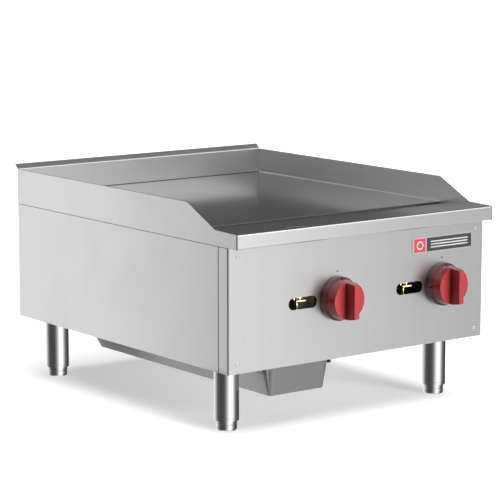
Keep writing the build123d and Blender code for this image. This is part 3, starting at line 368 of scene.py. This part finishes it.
# The tube's wall and the foot with its threaded stud, as outlines to be turned, in mm from
# the axis and up from the floor. The foot's steps are given as the inset from its rim.
LEG_OUTER = 23.2
LEG_WALL = 2.0
LEG_FOOT_END = 18.5
LEG_TOP_END = 118.0
LEG_LIP = 0.8
LEG_TOP_CHAMFER = 0.2
LEG_GROOVE_START = LEG_FOOT_END + 5.2
LEG_GROOVE_END = LEG_FOOT_END + 6.2
LEG_GROOVE_DEPTH = 0.35
GROOVE_EASE = 0.3
leg_inner = LEG_OUTER - LEG_WALL
leg_groove = LEG_OUTER - LEG_GROOVE_DEPTH
leg_profile = [(leg_inner, LEG_FOOT_END + LEG_LIP),
               (leg_inner + LEG_LIP, LEG_FOOT_END),
               (LEG_OUTER - LEG_LIP, LEG_FOOT_END),
               (LEG_OUTER - LEG_LIP * 0.3, LEG_FOOT_END + LEG_LIP * 0.3),
               (LEG_OUTER, LEG_FOOT_END + LEG_LIP),
               (LEG_OUTER, LEG_GROOVE_START),
               (leg_groove, LEG_GROOVE_START + GROOVE_EASE),
               (leg_groove, LEG_GROOVE_END - GROOVE_EASE),
               (LEG_OUTER, LEG_GROOVE_END),
               (LEG_OUTER, LEG_TOP_END - LEG_TOP_CHAMFER),
               (LEG_OUTER - LEG_TOP_CHAMFER, LEG_TOP_END),
               (leg_inner, LEG_TOP_END)]
FOOT_OUTER = 19.5
FOOT_HEIGHT = 26.0
FOOT_SOLE = ((3.0, 0.0), (1.2, 0.6), (0.2, 2.6), (0.0, 4.0))
FOOT_GROOVE = ((0.0, 11.2), (0.5, 11.7), (0.5, 12.3), (0.0, 12.8))
FOOT_SHOULDER = ((0.0, 24.0), (0.6, 25.4), (2.0, FOOT_HEIGHT))
STUD_OUTER = 6.0
STUD_NECK = 0.6
STUD_TOP = 86.0
STUD_CHAMFER = 1.2
THREAD_START = 27.0
THREAD_END = 84.0
THREAD_PITCH = 2.0
THREAD_DEPTH = 0.7
foot_profile = [(0.0, 0.0)]
for inset, height in FOOT_SOLE + FOOT_GROOVE + FOOT_SHOULDER:
    foot_profile.append((FOOT_OUTER - inset, height))
foot_profile.append((STUD_OUTER - STUD_NECK, FOOT_HEIGHT))
thread_height = THREAD_START
while thread_height < THREAD_END:
    foot_profile += [(STUD_OUTER, thread_height + THREAD_PITCH * 0.3),
                     (STUD_OUTER, thread_height + THREAD_PITCH * 0.45),
                     (STUD_OUTER - THREAD_DEPTH, thread_height + THREAD_PITCH * 0.9)]
    thread_height += THREAD_PITCH
foot_profile += [(STUD_OUTER - STUD_CHAMFER, STUD_TOP), (0.0, STUD_TOP)]
CRISP_TURNED_EDGE = 40
leg_finish = chrome("leg_chrome", 0.88, 0.06)
foot_finish = chrome("foot_chrome", 0.86, 0.08)
for end in ("front", "rear"):
    for side in ("left", "right"):
        low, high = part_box(f"{end}_{side}_leg")
        middle = ((low.x + high.x) / 2, (low.y + high.y) / 2, 0.0)
        leg_mesh = turned_mesh(f"{end}_{side}_leg_tube", leg_profile, middle)
        sharpen(leg_mesh, CRISP_TURNED_EDGE)
        leg_mesh.materials.append(leg_finish)
        leg = fresh_object(f"{end}_{side}_leg_tube", leg_mesh)
        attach(leg, "cabinet")
        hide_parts(f"{end}_{side}_leg")
        foot_mesh = turned_mesh(f"{end}_{side}_levelling_foot", foot_profile, middle, closed=False)
        sharpen(foot_mesh, CRISP_TURNED_EDGE)
        foot_mesh.materials.append(foot_finish)
        foot = fresh_object(f"{end}_{side}_levelling_foot", foot_mesh)
        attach(foot, f"{end}_{side}_foot")
        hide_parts(f"{end}_{side}_foot")
        light_tent(f"{end}_{side}_leg_tent", middle)


# ---------------------------------------------------------------- Cabinet structure
# Base pan, leg plates, cross members and brackets are plain galvanised sheet, cut and
# bent; the legs' plates are bolted through the pan with zinc-plated bolts and nuts.
SAME_POINT = 1e-6
SAME_PLANE = 0.3
FLATS_WEIGHT = 90


def dress(node, finish, bevel=0.0, degrees=30.0, segments=2):
    """Gives a carried-over part its finish, and softens its corners where bevel (m) is given."""
    part = nodes[node]
    for used in part.material_slots:
        used.material = finish
    if bevel:
        weld = part.modifiers.new("weld", "WELD")
        weld.merge_threshold = SAME_POINT
        flats = part.modifiers.new("flats", "DECIMATE")
        flats.decimate_type = "DISSOLVE"
        flats.angle_limit = math.radians(SAME_PLANE)
        round_off = part.modifiers.new("round_off", "BEVEL")
        round_off.width = bevel
        round_off.segments = segments
        round_off.limit_method = "ANGLE"
        round_off.angle_limit = math.radians(degrees)
        round_off.use_clamp_overlap = True
        smooth = part.modifiers.new("smooth", "WEIGHTED_NORMAL")
        smooth.keep_sharp = False
        smooth.weight = FLATS_WEIGHT


def galvanised(name, shade, rough):
    """Zinc coat: pale crystals a few millimetres across over a slightly uneven sheet."""
    crystals_per_metre = 260.0
    cloud_grain = (18.0, 18.0, 18.0)
    worn_rim = 0.001
    finish, start, shader = begin_finish(name, grey(shade), rough)
    place = start.node("TexCoord", output="Object")
    crystals = start.node("TexVoronoi", {"feature": "F1"},
                          {"Vector": place, "Scale": crystals_per_metre}, "Color")
    spangle = start.node("RGBToBW", inputs={0: crystals})
    cloud = streaks(start, cloud_grain, 4.0)
    rim = edges(start, worn_rim)
    feed(shader,
         Base_Color=(spangle * 0.5 + cloud * 0.5).blend(grey(shade * 0.82), grey(shade * 1.15)),
         Roughness=spangle * 0.14 + (cloud * 0.10 - rim * 0.08) + (rough - 0.10),
         Normal=ripple(start, spangle + cloud, 0.00003, 0.4))
    return finish


SHEET_CORNER = 0.0002
zinc_finish = galvanised("zinc_sheet", 0.50, 0.42)
for node in ("base_pan", "rear_panel", "leg_plates", "front_cross_member", "rear_cross_member",
             "manifold_brackets", "pilot_brackets", "tray_rail_left", "tray_rail_right",
             "grease_chute"):
    dress(node, zinc_finish, SHEET_CORNER)


def plated(name, shade, rough):
    """Bright surface of small turned or pressed parts, rubbed paler on their rims."""
    fine_grain = (900.0, 900.0, 900.0)
    rub_grain = (120.0, 120.0, 120.0)
    worn_rim = 0.0006
    finish, start, shader = begin_finish(name, shade, rough)
    grain = streaks(start, fine_grain, 3.0)
    rub = streaks(start, rub_grain, 3.0, seed=2.0).smooth(0.4, 0.7)
    rim = edges(start, worn_rim)
    worn = tuple(min(1.0, value * 1.25) for value in shade[:3]) + (1.0,)
    feed(shader,
         Base_Color=(rub * 0.4 + rim * 0.6).blend(shade, worn),
         Roughness=grain * 0.10 + (rub * 0.08 - rim * 0.05) + (rough - 0.05),
         Normal=ripple(start, grain, 0.00002, 0.3))
    return finish


fastener_finish = plated("fastener_zinc", grey(0.66), 0.28)
for node in ("leg_bolts", "leg_nuts", "leg_inserts"):
    dress(node, fastener_finish, SHEET_CORNER)


# ---------------------------------------------------------------- Outer sheets
# The front and the two sides are 1.2 mm stainless sheet, brushed from top to bottom
# and folded; the front's returns and the sides meet in two fine upright seams.
SEAM_HALF = 0.0008
SEAM_EASE = 2.2
SEAM_SHADE = 0.16
# A band this deep (m) below a top edge is painted pale: a painted highlight.
HIGHLIGHT_HEIGHT = 0.0042
HIGHLIGHT_EASE = 0.6
HIGHLIGHT_SHADE = 1.0


def brushed(name, shade, rough, stretch, contrast=1.0, seams=(), highlight_top=None):
    """Stainless sheet with a drawn grain; stretch gives the grain's features per metre.
    Each seam is an axis and a place (m) along it, where a thin dark line is painted as shade in
    a joint or a bend; the last argument is the height (m) of a top edge painted pale as a highlight."""
    broader = 0.22
    hand_grain = (7.0, 7.0, 7.0)
    worn_rim = 0.0012
    finish, start, shader = begin_finish(name, grey(shade), rough)
    fine = streaks(start, stretch, 4.0, 0.7)
    broad = streaks(start, tuple(value * broader for value in stretch), 3.0, 0.5, seed=5.0)
    hands = streaks(start, hand_grain, 3.0, seed=9.0).smooth(0.42, 0.72)
    rim = edges(start, worn_rim)
    tone = fine * 0.35 + broad * 0.65
    steel = (tone - rim * 0.2).blend(grey(shade * (1 - 0.05 * contrast)),
                                     grey(shade * (1 + 0.05 * contrast)))
    place = start.node("TexCoord", output="Object")
    spots = start.node("SeparateXYZ", inputs={0: place}).outputs()
    # Each seam line is painted shade: a dark band standing for the shadow in the joint or bend.
    for axis, seam in seams:
        away = start.maths("ABSOLUTE", spots[axis] - seam)
        steel = away.smooth(SEAM_HALF, SEAM_HALF * SEAM_EASE).blend(grey(SEAM_SHADE), steel)
    # The band along the top edge is a painted highlight.
    if highlight_top is not None:
        below = start.maths("ABSOLUTE", spots[2] - highlight_top)
        steel = below.smooth(HIGHLIGHT_HEIGHT * HIGHLIGHT_EASE, HIGHLIGHT_HEIGHT).blend(grey(HIGHLIGHT_SHADE), steel)
    feed(shader,
         Base_Color=steel,
         Roughness=tone * 0.06 + (hands * 0.03 + rim * 0.06) + (rough - 0.04),
         Normal=ripple(start, fine, 0.000004, 0.05 * contrast))
    return finish


DOWN_GRAIN = (900.0, 900.0, 9.0)
PANEL_CORNER = 0.0003
FRONT_RETURN = 0.0299
CORNER_FOLD = 0.0022
# The lines at the return's joint and at the front corner's bend are painted shade.
front_low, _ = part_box("front_panel")
panel_finish = brushed("panel_brushed", 0.74, 0.33, DOWN_GRAIN,
                       seams=((1, front_low.y + FRONT_RETURN), (1, front_low.y + CORNER_FOLD)))
for node in ("front_panel", "side_panel_left", "side_panel_right"):
    dress(node, panel_finish, PANEL_CORNER)


def reflector(name, corners_mm, shades):
    """Upright card whose light changes along its width."""
    mesh = bpy.data.meshes.new(name)
    mesh.from_pydata([[c * MM for c in corner] for corner in corners_mm], [], [(0, 1, 2, 3)])
    layer = mesh.uv_layers.new(name="uv")
    for loop, uv in zip(layer.data, ((0, 0), (1, 0), (1, 1), (0, 1))):
        loop.uv = uv
    card = fresh_object(name, mesh)

    def across(start):
        place = start.node("TexCoord", output="UV")
        return start.node("SeparateXYZ", inputs={0: place}).tint(shades)

    mesh.materials.append(glow_finish(name, across))
    unseen(card, diffuse=False)


# Two upright light cards, bright at one end, give the sides and the front their slow
# change of tone.
LEFT_CARD = [(-1150, 100, -1200), (-1150, 2100, -1200), (-1150, 2100, 620), (-1150, 100, 620)]
LEFT_SHADES = [(0.0, 0.41), (0.35, 0.66), (0.75, 1.28), (1.0, 1.34)]
reflector("left_light", LEFT_CARD, LEFT_SHADES)
FRONT_CARD = [(200, -1750, -1200), (2000, -1750, -1200), (2000, -1750, 1100), (200, -1750, 1100)]
FRONT_SHADES = [(0.0, 1.17), (0.22, 1.13), (0.65, 0.60), (1.0, 0.48)]
reflector("front_light", FRONT_CARD, FRONT_SHADES)


# ---------------------------------------------------------------- Gas pipework
# Black steel pipe runs from the inlet at the back, along the right side and across the
# front to both valves; elbow and plug are malleable iron, the valves turned brass.
def black_pipe(name):
    """Mill scale, rubbed to grey metal on its rims."""
    scale_grain = (160.0, 160.0, 160.0)
    drawn_grain = (30.0, 30.0, 1400.0)
    worn_rim = 0.0012
    finish, start, shader = begin_finish(name, grey(0.045), 0.42, metallic=0.6)
    mottled = streaks(start, scale_grain, 5.0, 0.7)
    drawn = streaks(start, drawn_grain, 2.0, seed=4.0)
    rim = edges(start, worn_rim)
    feed(shader,
         Base_Color=(mottled.smooth(0.35, 0.75) + rim * 0.6).blend(grey(0.03), grey(0.14)),
         Roughness=mottled * 0.25 + 0.34 - rim * 0.10,
         Normal=ripple(start, mottled + drawn * 0.3, 0.00012, 0.5))
    return finish


pipe_finish = black_pipe("pipe_scale")
for node in ("gas_manifold", "manifold_elbow", "gas_supply_pipe", "manifold_plug"):
    dress(node, pipe_finish)

BRASS = (0.80, 0.58, 0.22, 1.0)
BRASS_CORNER = 0.0003
brass_finish = plated("turned_brass", BRASS, 0.24)
for node in ("valve_body_left", "valve_body_right", "burner_orifice_left", "burner_orifice_right"):
    dress(node, brass_finish, BRASS_CORNER)
stem_finish = plated("stem_steel", grey(0.6), 0.25)
for node in ("valve_stem_left", "valve_stem_right"):
    dress(node, stem_finish, SHEET_CORNER)


# ---------------------------------------------------------------- Burners
# Each burner is one bent aluminised tube fused to a straight one, with slots cut along
# the top; a pressed shutter turns on its mouth to set the air.
def aluminised(name, shade, rough):
    """Aluminium-dipped tube, blotched and blued by heat."""
    blotch_grain = (55.0, 55.0, 55.0)
    fine_grain = (1100.0, 1100.0, 1100.0)
    finish, start, shader = begin_finish(name, shade, rough)
    blotches = streaks(start, blotch_grain, 5.0, 0.65)
    grain = streaks(start, fine_grain, 2.0, seed=7.0)
    blued = (0.30, 0.27, 0.27, 1.0)
    feed(shader,
         Base_Color=blotches.smooth(0.40, 0.72).blend(shade, blued),
         Roughness=blotches * 0.20 + grain * 0.08 + (rough - 0.12),
         Normal=ripple(start, grain + blotches, 0.00004, 0.35))
    return finish


burner_finish = aluminised("aluminised_tube", (0.50, 0.48, 0.45, 1.0), 0.40)
for side in ("left", "right"):
    dress(f"burner_{side}", burner_finish)
shutter_finish = galvanised("shutter_zinc", 0.55, 0.34)
for side in ("left", "right"):
    dress(f"air_shutter_{side}", shutter_finish)


# ---------------------------------------------------------------- Pilots
# A small brass valve on the manifold feeds each pilot through a thin tube; its burner
# stands behind the lighting slot so that a match reaches it.
PILOT_BRASS = (0.86, 0.66, 0.26, 1.0)
pilot_finish = plated("pilot_brass", PILOT_BRASS, 0.22)
for side in ("left", "right"):
    for piece in ("pilot_valve", "pilot_screw", "pilot_supply_tube", "pilot_burner"):
        dress(f"{piece}_{side}", pilot_finish)

# Light that comes in through each lighting slot, seen only from inside the cabinet.
SLOT_CENTRE_Z = 234.0
SLOT_OUT = 339.4
SLOT_CENTRES_X = (("left", -136.5), ("right", 119.5))
SLOT_HALF_LENGTH = 33.0
SLOT_HALF_HEIGHT = 11.2
SLOT_LIGHT = 4.0
slot_finish = glow_finish("slot_light", grey(SLOT_LIGHT), one_sided=True)
for side, x in SLOT_CENTRES_X:
    corners_mm = [(x + along * SLOT_HALF_LENGTH, -SLOT_OUT, SLOT_CENTRE_Z + up * SLOT_HALF_HEIGHT)
                  for along, up in ((-1, -1), (-1, 1), (1, 1), (1, -1))]
    mesh = bpy.data.meshes.new(f"slot_light_{side}")
    mesh.from_pydata([[c * MM for c in corner] for corner in corners_mm], [], [(0, 1, 2, 3)])
    mesh.materials.append(slot_finish)
    card = fresh_object(f"slot_light_{side}", mesh)
    unseen(card)


# ---------------------------------------------------------------- Cooking plate
# A 20 mm steel plate, ground flat and polished along its length; it is welded to the
# splashes on three sides and its front edge stands a little above the grease trough.
def polished_plate(name):
    """Ground top with faint heat tint and scratches, and a rougher front face painted dark as shade.
    """
    ground_grain = (9.0, 500.0, 500.0)
    heat_grain = (5.0, 4.0, 5.0)
    scratch_grain = (8.0, 420.0, 420.0)
    front_painted_shade = 0.12
    finish, start, shader = begin_finish(name, grey(0.66), 0.18)
    ground = streaks(start, ground_grain, 4.0, 0.6)
    heat = streaks(start, heat_grain, 4.0, 0.6, seed=11.0).smooth(0.35, 0.75)
    scratches = streaks(start, scratch_grain, 2.0, 0.4, seed=17.0).smooth(0.62, 0.72)
    # Faces turned to the front are painted dark: painted shade on the plate's front edge.
    facing = start.node("NewGeometry", output="Normal")
    _, forward, _ = start.node("SeparateXYZ", inputs={0: facing}).outputs()
    front_face = (forward * -1.0).smooth(0.75, 0.95)
    top = (ground * 0.5 + heat * 0.3).blend(grey(0.53), grey(0.61))
    feed(shader,
         Base_Color=front_face.blend(top, grey(front_painted_shade)),
         Roughness=ground * 0.05 + (heat * 0.03 + scratches * 0.03) + (front_face * 0.25 + 0.10),
         Normal=ripple(start, ground + scratches * 0.5, 0.000004, 0.04))
    return finish


PLATE_CORNER = 0.0007
plate_finish = polished_plate("ground_plate")
dress("griddle_plate", plate_finish, PLATE_CORNER, segments=1)


# ---------------------------------------------------------------- Splashes and trough
# Side and back splashes are 2 mm stainless, folded outward along the back's top edge;
# the trough and the rounded apron in front of it are one sheet, brushed from side to side.
SPLASH_CORNER = 0.0004
SPLASH_CONTRAST = 0.35
SPLASH_GRAIN = (300.0, 300.0, 6.0)
# The dark line at the splash's front joint is painted shade.
SPLASH_FRONT_JOINT = 0.0012
splash_low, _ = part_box("side_splash_left")
splash_finish = brushed("splash_brushed", 0.72, 0.31, SPLASH_GRAIN, SPLASH_CONTRAST,
                        seams=((1, splash_low.y + SPLASH_FRONT_JOINT),))
dress("side_splash_left", splash_finish, SPLASH_CORNER)
dress("side_splash_right", splash_finish, SPLASH_CORNER)
BACK_GRAIN = (6.0, 300.0, 300.0)
# The dark line where the plate meets the back splash is painted shade.
PLATE_JOINT = -0.0001
plate_low, plate_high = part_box("griddle_plate")
back_finish = brushed("back_splash_brushed", 0.78, 0.33, BACK_GRAIN, SPLASH_CONTRAST,
                      seams=((2, plate_high.z + PLATE_JOINT),))
dress("back_splash", back_finish, SPLASH_CORNER)
TROUGH_GRAIN = (7.0, 500.0, 500.0)
TROUGH_CONTRAST = 1.6
# The apron's rounded top edge gets a painted highlight.
_, trough_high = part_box("grease_trough")
trough_finish = brushed("trough_brushed", 0.80, 0.25, TROUGH_GRAIN, TROUGH_CONTRAST,
                        highlight_top=trough_high.z)
dress("grease_trough", trough_finish, SPLASH_CORNER)

# A thin rippled weld joins the plate's top to each side splash.
WELD_RADIUS = 1.5
WELD_PITCH = 2.4
WELD_STEP = 0.8
WELD_SIDES = 8
WELD_RIPPLE = 0.06
WELD_END = 1.0


def weld_bead(name, x, y_start, y_end, z):
    """Half-sunk round bead along Y whose ripples bulge towards its start."""
    mesh = bpy.data.meshes.new(name)
    built = bmesh.new()
    rings = []
    y = y_start
    while y <= y_end:
        swell = (1 - WELD_RIPPLE) + WELD_RIPPLE * abs(math.sin(math.pi * y / WELD_PITCH))
        radius = WELD_RADIUS * swell
        ring = []
        for side in range(WELD_SIDES):
            turn = 2 * math.pi * side / WELD_SIDES
            ring.append(built.verts.new(((x + radius * math.cos(turn)) * MM, y * MM,
                                         (z + radius * math.sin(turn)) * MM)))
        rings.append(ring)
        y += WELD_STEP
    for first, second in zip(rings, rings[1:]):
        for side in range(WELD_SIDES):
            after = (side + 1) % WELD_SIDES
            built.faces.new((first[side], first[after], second[after], second[side]))
    built.faces.new(rings[0])
    built.faces.new(rings[-1])
    bmesh.ops.recalc_face_normals(built, faces=built.faces)
    built.to_mesh(mesh)
    built.free()
    for face in mesh.polygons:
        face.use_smooth = True
    return mesh


WELD_GRAIN = (300.0, 300.0, 300.0)
weld_finish, weld_start, weld_shader = begin_finish("weld_bead", grey(0.75), 0.42, metallic=0.30)
bloom = streaks(weld_start, WELD_GRAIN, 3.0)
feed(weld_shader,
     Base_Color=bloom.blend(grey(0.62), grey(0.82)),
     Roughness=bloom * 0.15 + 0.34,
     Normal=ripple(weld_start, bloom, 0.00003, 0.2))
for side, x in (("left", plate_low.x), ("right", plate_high.x)):
    bead_mesh = weld_bead(f"plate_weld_{side}", x / MM, plate_low.y / MM + WELD_END,
                          plate_high.y / MM - WELD_END, plate_high.z / MM)
    bead_mesh.materials.append(weld_finish)
    bead = fresh_object(f"plate_weld_{side}", bead_mesh)
    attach(bead, "cabinet")
    lit_from_above.objects.link(bead)


# ---------------------------------------------------------------- Grease tray
# A long tray of dull folded steel hangs in two rails under the pan and draws out to the
# front; its corners are folded over and its back slopes.
def dull_steel(name, shade, rough):
    """Plain rolled sheet, clouded by grease and paler along its folds."""
    rolled_grain = (900.0, 20.0, 900.0)
    cloud_grain = (14.0, 14.0, 14.0)
    worn_rim = 0.0015
    finish, start, shader = begin_finish(name, grey(shade), rough)
    rolled = streaks(start, rolled_grain, 3.0)
    cloud = streaks(start, cloud_grain, 4.0, seed=6.0)
    rim = edges(start, worn_rim)
    feed(shader,
         Base_Color=(rolled * 0.4 + cloud * 0.4 + rim * 0.5).blend(grey(shade * 0.85),
                                                                   grey(shade * 1.2)),
         Roughness=rolled * 0.10 + cloud * 0.12 + (rough - 0.11),
         Normal=ripple(start, rolled + cloud, 0.00002, 0.3))
    return finish


TRAY_CORNER = 0.0003
tray_finish = dull_steel("tray_sheet", 0.33, 0.36)
dress("grease_tray", tray_finish, TRAY_CORNER)


# ---------------------------------------------------------------- Knobs
# One glossy red moulding for each valve: skirt, tapered drum and a grip bar across its
# face, with a small pointer moulded on the drum's rim.
KNOB_CORNER = 0.0006
KNOB_CORNER_ANGLE = 28.0
# Depths (m) over which the skirt beside the panel turns to painted shade.
SKIRT_SHADE_START = -0.362
SKIRT_SHADE_FULL = -0.348


def moulded_red(name):
    """Glossy plastic, paler where it is handled, with painted shade in its corners and round the
    skirt.
    """
    red = (0.56, 0.050, 0.056, 1.0)
    handled_red = (0.64, 0.075, 0.085, 1.0)
    painted_shade_red = (0.07, 0.005, 0.005, 1.0)
    peel_grain = (700.0, 700.0, 700.0)
    hand_grain = (60.0, 60.0, 60.0)
    worn_rim = 0.0008
    corner_reach = 0.035
    finish, start, shader = begin_finish(name, red, 0.26, metallic=0.0, coat=0.15)
    shader.inputs["Coat Roughness"].default_value = 0.08
    orange_peel = streaks(start, peel_grain, 2.0)
    handled = streaks(start, hand_grain, 4.0, seed=8.0).smooth(0.40, 0.75)
    rim = edges(start, worn_rim)
    # Corners found by ambient occlusion are painted near-black red: painted shade.
    open_air = start.node("AmbientOcclusion", inputs={"Distance": corner_reach}, output="AO")
    unshaded_red = (handled * 0.3 + rim * 0.5).blend(red, handled_red)
    place = start.node("TexCoord", output="Object")
    _, depth, _ = start.node("SeparateXYZ", inputs={0: place}).outputs()
    # The skirt beside the panel is painted near-black red as shade.
    skirt = depth.smooth(SKIRT_SHADE_START, SKIRT_SHADE_FULL)
    feed(shader,
         Base_Color=skirt.blend(open_air.smooth(0.50, 0.97).blend(painted_shade_red, unshaded_red), painted_shade_red),
         Roughness=handled * 0.08 + (orange_peel * 0.05 - rim * 0.06) + 0.18,
         Normal=ripple(start, orange_peel, 0.00002, 0.08))
    return finish


knob_finish = moulded_red("moulded_red")
for side in ("left", "right"):
    dress(f"knob_{side}", knob_finish, KNOB_CORNER, KNOB_CORNER_ANGLE, 3)


# ---------------------------------------------------------------- Panel screws
# Zinc-plated pan head screws hold the front and the rear panels; each head is domed and
# has a crossed recess for the driver.
SCREW_HEAD = 3.4
SCREW_RISE = 2.1
SCREW_RIM = 0.5
RECESS_REACH = 1.9
RECESS_HALF_WIDTH = 0.42
RECESS_DEPTH = 1.1
RECESS_SLOPE = 0.35
SCREW_RINGS = 16
SCREW_SPOKES = 48
SCREW_CRISP_EDGE = 35


def screw_head(built, middle, outward):
    """Domed head on a panel; outward is -1 for the front panel and 1 for the rear."""
    def point(reach, turn):
        across, up = reach * math.cos(turn), reach * math.sin(turn)
        dome = math.sqrt(max(0.0, 1 - (reach / SCREW_HEAD) ** 2))
        rise = SCREW_RIM + (SCREW_RISE - SCREW_RIM) * dome
        off_the_cross = min(abs(across), abs(up))
        if off_the_cross < RECESS_HALF_WIDTH and reach < RECESS_REACH:
            rise -= RECESS_DEPTH * (1 - RECESS_SLOPE * reach / RECESS_REACH)
        return built.verts.new((middle.x + across * MM, middle.y + outward * rise * MM,
                                middle.z + up * MM))

    top = point(0.0, 0.0)
    rings = []
    for ring in range(1, SCREW_RINGS + 1):
        reach = SCREW_HEAD * ring / SCREW_RINGS
        rings.append([point(reach, 2 * math.pi * spoke / SCREW_SPOKES)
                      for spoke in range(SCREW_SPOKES)])
    seat = [built.verts.new((head.co.x, middle.y, head.co.z)) for head in rings[-1]]
    rings.append(seat)
    for spoke in range(SCREW_SPOKES):
        after = (spoke + 1) % SCREW_SPOKES
        built.faces.new((top, rings[0][spoke], rings[0][after]))
        for inner, outer in zip(rings, rings[1:]):
            built.faces.new((inner[spoke], outer[spoke], outer[after], inner[after]))
    built.faces.new(seat)


# The carried-over screws say where each head goes: each is one shell of their mesh.
screws_mesh = bpy.data.meshes.new("panel_screw_heads")
heads = bmesh.new()
_, rear_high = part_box("rear_panel")
screw_boxes = []
cad_screws = nodes["panel_screws"]
found = bmesh.new()
found.from_mesh(cad_screws.data)
bmesh.ops.remove_doubles(found, verts=found.verts, dist=SAME_POINT)
waiting = set(found.verts)
while waiting:
    shell = [waiting.pop()]
    for vert in shell:
        for edge in vert.link_edges:
            other = edge.other_vert(vert)
            if other in waiting:
                waiting.remove(other)
                shell.append(other)
    spots = [cad_screws.matrix_world @ vert.co for vert in shell]
    low = Vector([min(spot[axis] for spot in spots) for axis in range(3)])
    high = Vector([max(spot[axis] for spot in spots) for axis in range(3)])
    screw_boxes.append((low, high))
found.free()
for low, high in sorted(screw_boxes, key=lambda pair: tuple(pair[0])):
    middle = (low + high) / 2
    if middle.y < 0:
        screw_head(heads, Vector((middle.x, front_low.y, middle.z)), -1)
    else:
        screw_head(heads, Vector((middle.x, rear_high.y, middle.z)), 1)
bmesh.ops.recalc_face_normals(heads, faces=heads.faces)
heads.to_mesh(screws_mesh)
heads.free()
for face in screws_mesh.polygons:
    face.use_smooth = True
sharpen(screws_mesh, SCREW_CRISP_EDGE)
screws_mesh.materials.append(plated("screw_zinc", grey(0.92), 0.16))
screws = fresh_object("panel_screw_heads", screws_mesh)
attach(screws, "cabinet")
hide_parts("panel_screws")


# ---------------------------------------------------------------- Badge and index marks
# An aluminium badge with two enamelled fields, a plain ring and three bars, is stuck to
# the front panel; a printed dot above each knob marks its off position.
def enamel(name, shade, rough):
    """Glossy coloured coat with a fine speckle and a slight wave."""
    speckle_grain = (1800.0, 1800.0, 1800.0)
    wave_grain = (90.0, 90.0, 90.0)
    finish, start, shader = begin_finish(name, shade, rough, metallic=0.0, coat=0.4)
    speckle = streaks(start, speckle_grain, 2.0)
    wave = streaks(start, wave_grain, 2.0, seed=3.0)
    paler = tuple(min(1.0, value * 1.12 + 0.01) for value in shade[:3]) + (1.0,)
    feed(shader,
         Base_Color=speckle.blend(shade, paler),
         Roughness=speckle * 0.10 + (rough - 0.05),
         Normal=ripple(start, wave, 0.00002, 0.2))
    return finish


RING_OUTER = 8.2
RING_INNER = 5.6
RING_STEPS = 72
BAR_HALF_LENGTH = 46.0
BAR_HALF_WIDTH = 1.1
BAR_PITCH = 5.4
BAR_STEPS = 12
INLAY_RISE = 0.12


def raised_outline(built, outline, y, hole=None):
    """Shape standing INLAY_RISE proud of the face at y (m); outline and hole are (x, z) in mm."""
    def loop(points, forward):
        return [built.verts.new((x * MM, y - forward * MM, z * MM)) for x, z in points]

    seat = loop(outline, 0.0)
    face = loop(outline, INLAY_RISE)
    if hole:
        hole_seat = loop(hole, 0.0)
        hole_face = loop(hole, INLAY_RISE)
    count = len(outline)
    for n in range(count):
        m = (n + 1) % count
        built.faces.new((seat[n], seat[m], face[m], face[n]))
        if hole:
            built.faces.new((hole_seat[m], hole_seat[n], hole_face[n], hole_face[m]))
            built.faces.new((face[n], face[m], hole_face[m], hole_face[n]))
            built.faces.new((seat[m], seat[n], hole_seat[n], hole_seat[m]))
    if not hole:
        built.faces.new(face)
        built.faces.new(seat[::-1])


inlay = bmesh.new()
red_low, red_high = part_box("badge_red_field")
centre = (red_low + red_high) / 2 / MM
turns = [2 * math.pi * step / RING_STEPS for step in range(RING_STEPS)]
outer = [(centre.x + RING_OUTER * math.cos(t), centre.z + RING_OUTER * math.sin(t)) for t in turns]
inner = [(centre.x + RING_INNER * math.cos(t), centre.z + RING_INNER * math.sin(t)) for t in turns]
raised_outline(inlay, outer, red_low.y, inner)
grey_low, grey_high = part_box("badge_grey_field")
centre = (grey_low + grey_high) / 2 / MM
for row in (-1, 0, 1):
    bar = []
    for end in (1, -1):
        for step in range(BAR_STEPS + 1):
            t = math.pi * (step / BAR_STEPS - 0.5)
            bar.append((centre.x + end * (BAR_HALF_LENGTH + BAR_HALF_WIDTH * math.cos(t)),
                        centre.z + row * BAR_PITCH + end * BAR_HALF_WIDTH * math.sin(t)))
    raised_outline(inlay, bar, grey_low.y)
bmesh.ops.recalc_face_normals(inlay, faces=inlay.faces)
inlay_mesh = bpy.data.meshes.new("badge_inlay")
inlay.to_mesh(inlay_mesh)
inlay.free()
inlay_mesh.materials.append(enamel("white_enamel", grey(0.80), 0.3))
inlay_object = fresh_object("badge_inlay", inlay_mesh)
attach(inlay_object, "cabinet")

SATIN_GRAIN = (18.0, 2200.0, 2200.0)
SATIN_CONTRAST = 0.5
BADGE_CORNER = 0.0002
BADGE_RED = (0.80, 0.06, 0.075, 1.0)
BADGE_GREY = (0.040, 0.040, 0.043, 1.0)
MARK_BLACK = grey(0.05)
badge_finish = brushed("badge_satin", 0.88, 0.30, SATIN_GRAIN, SATIN_CONTRAST)
dress("badge_plate", badge_finish, BADGE_CORNER)
dress("badge_red_field", enamel("red_enamel", BADGE_RED, 0.3))
dress("badge_grey_field", enamel("grey_enamel", BADGE_GREY, 0.35))
dress("index_marks", enamel("printed_mark", MARK_BLACK, 0.5))
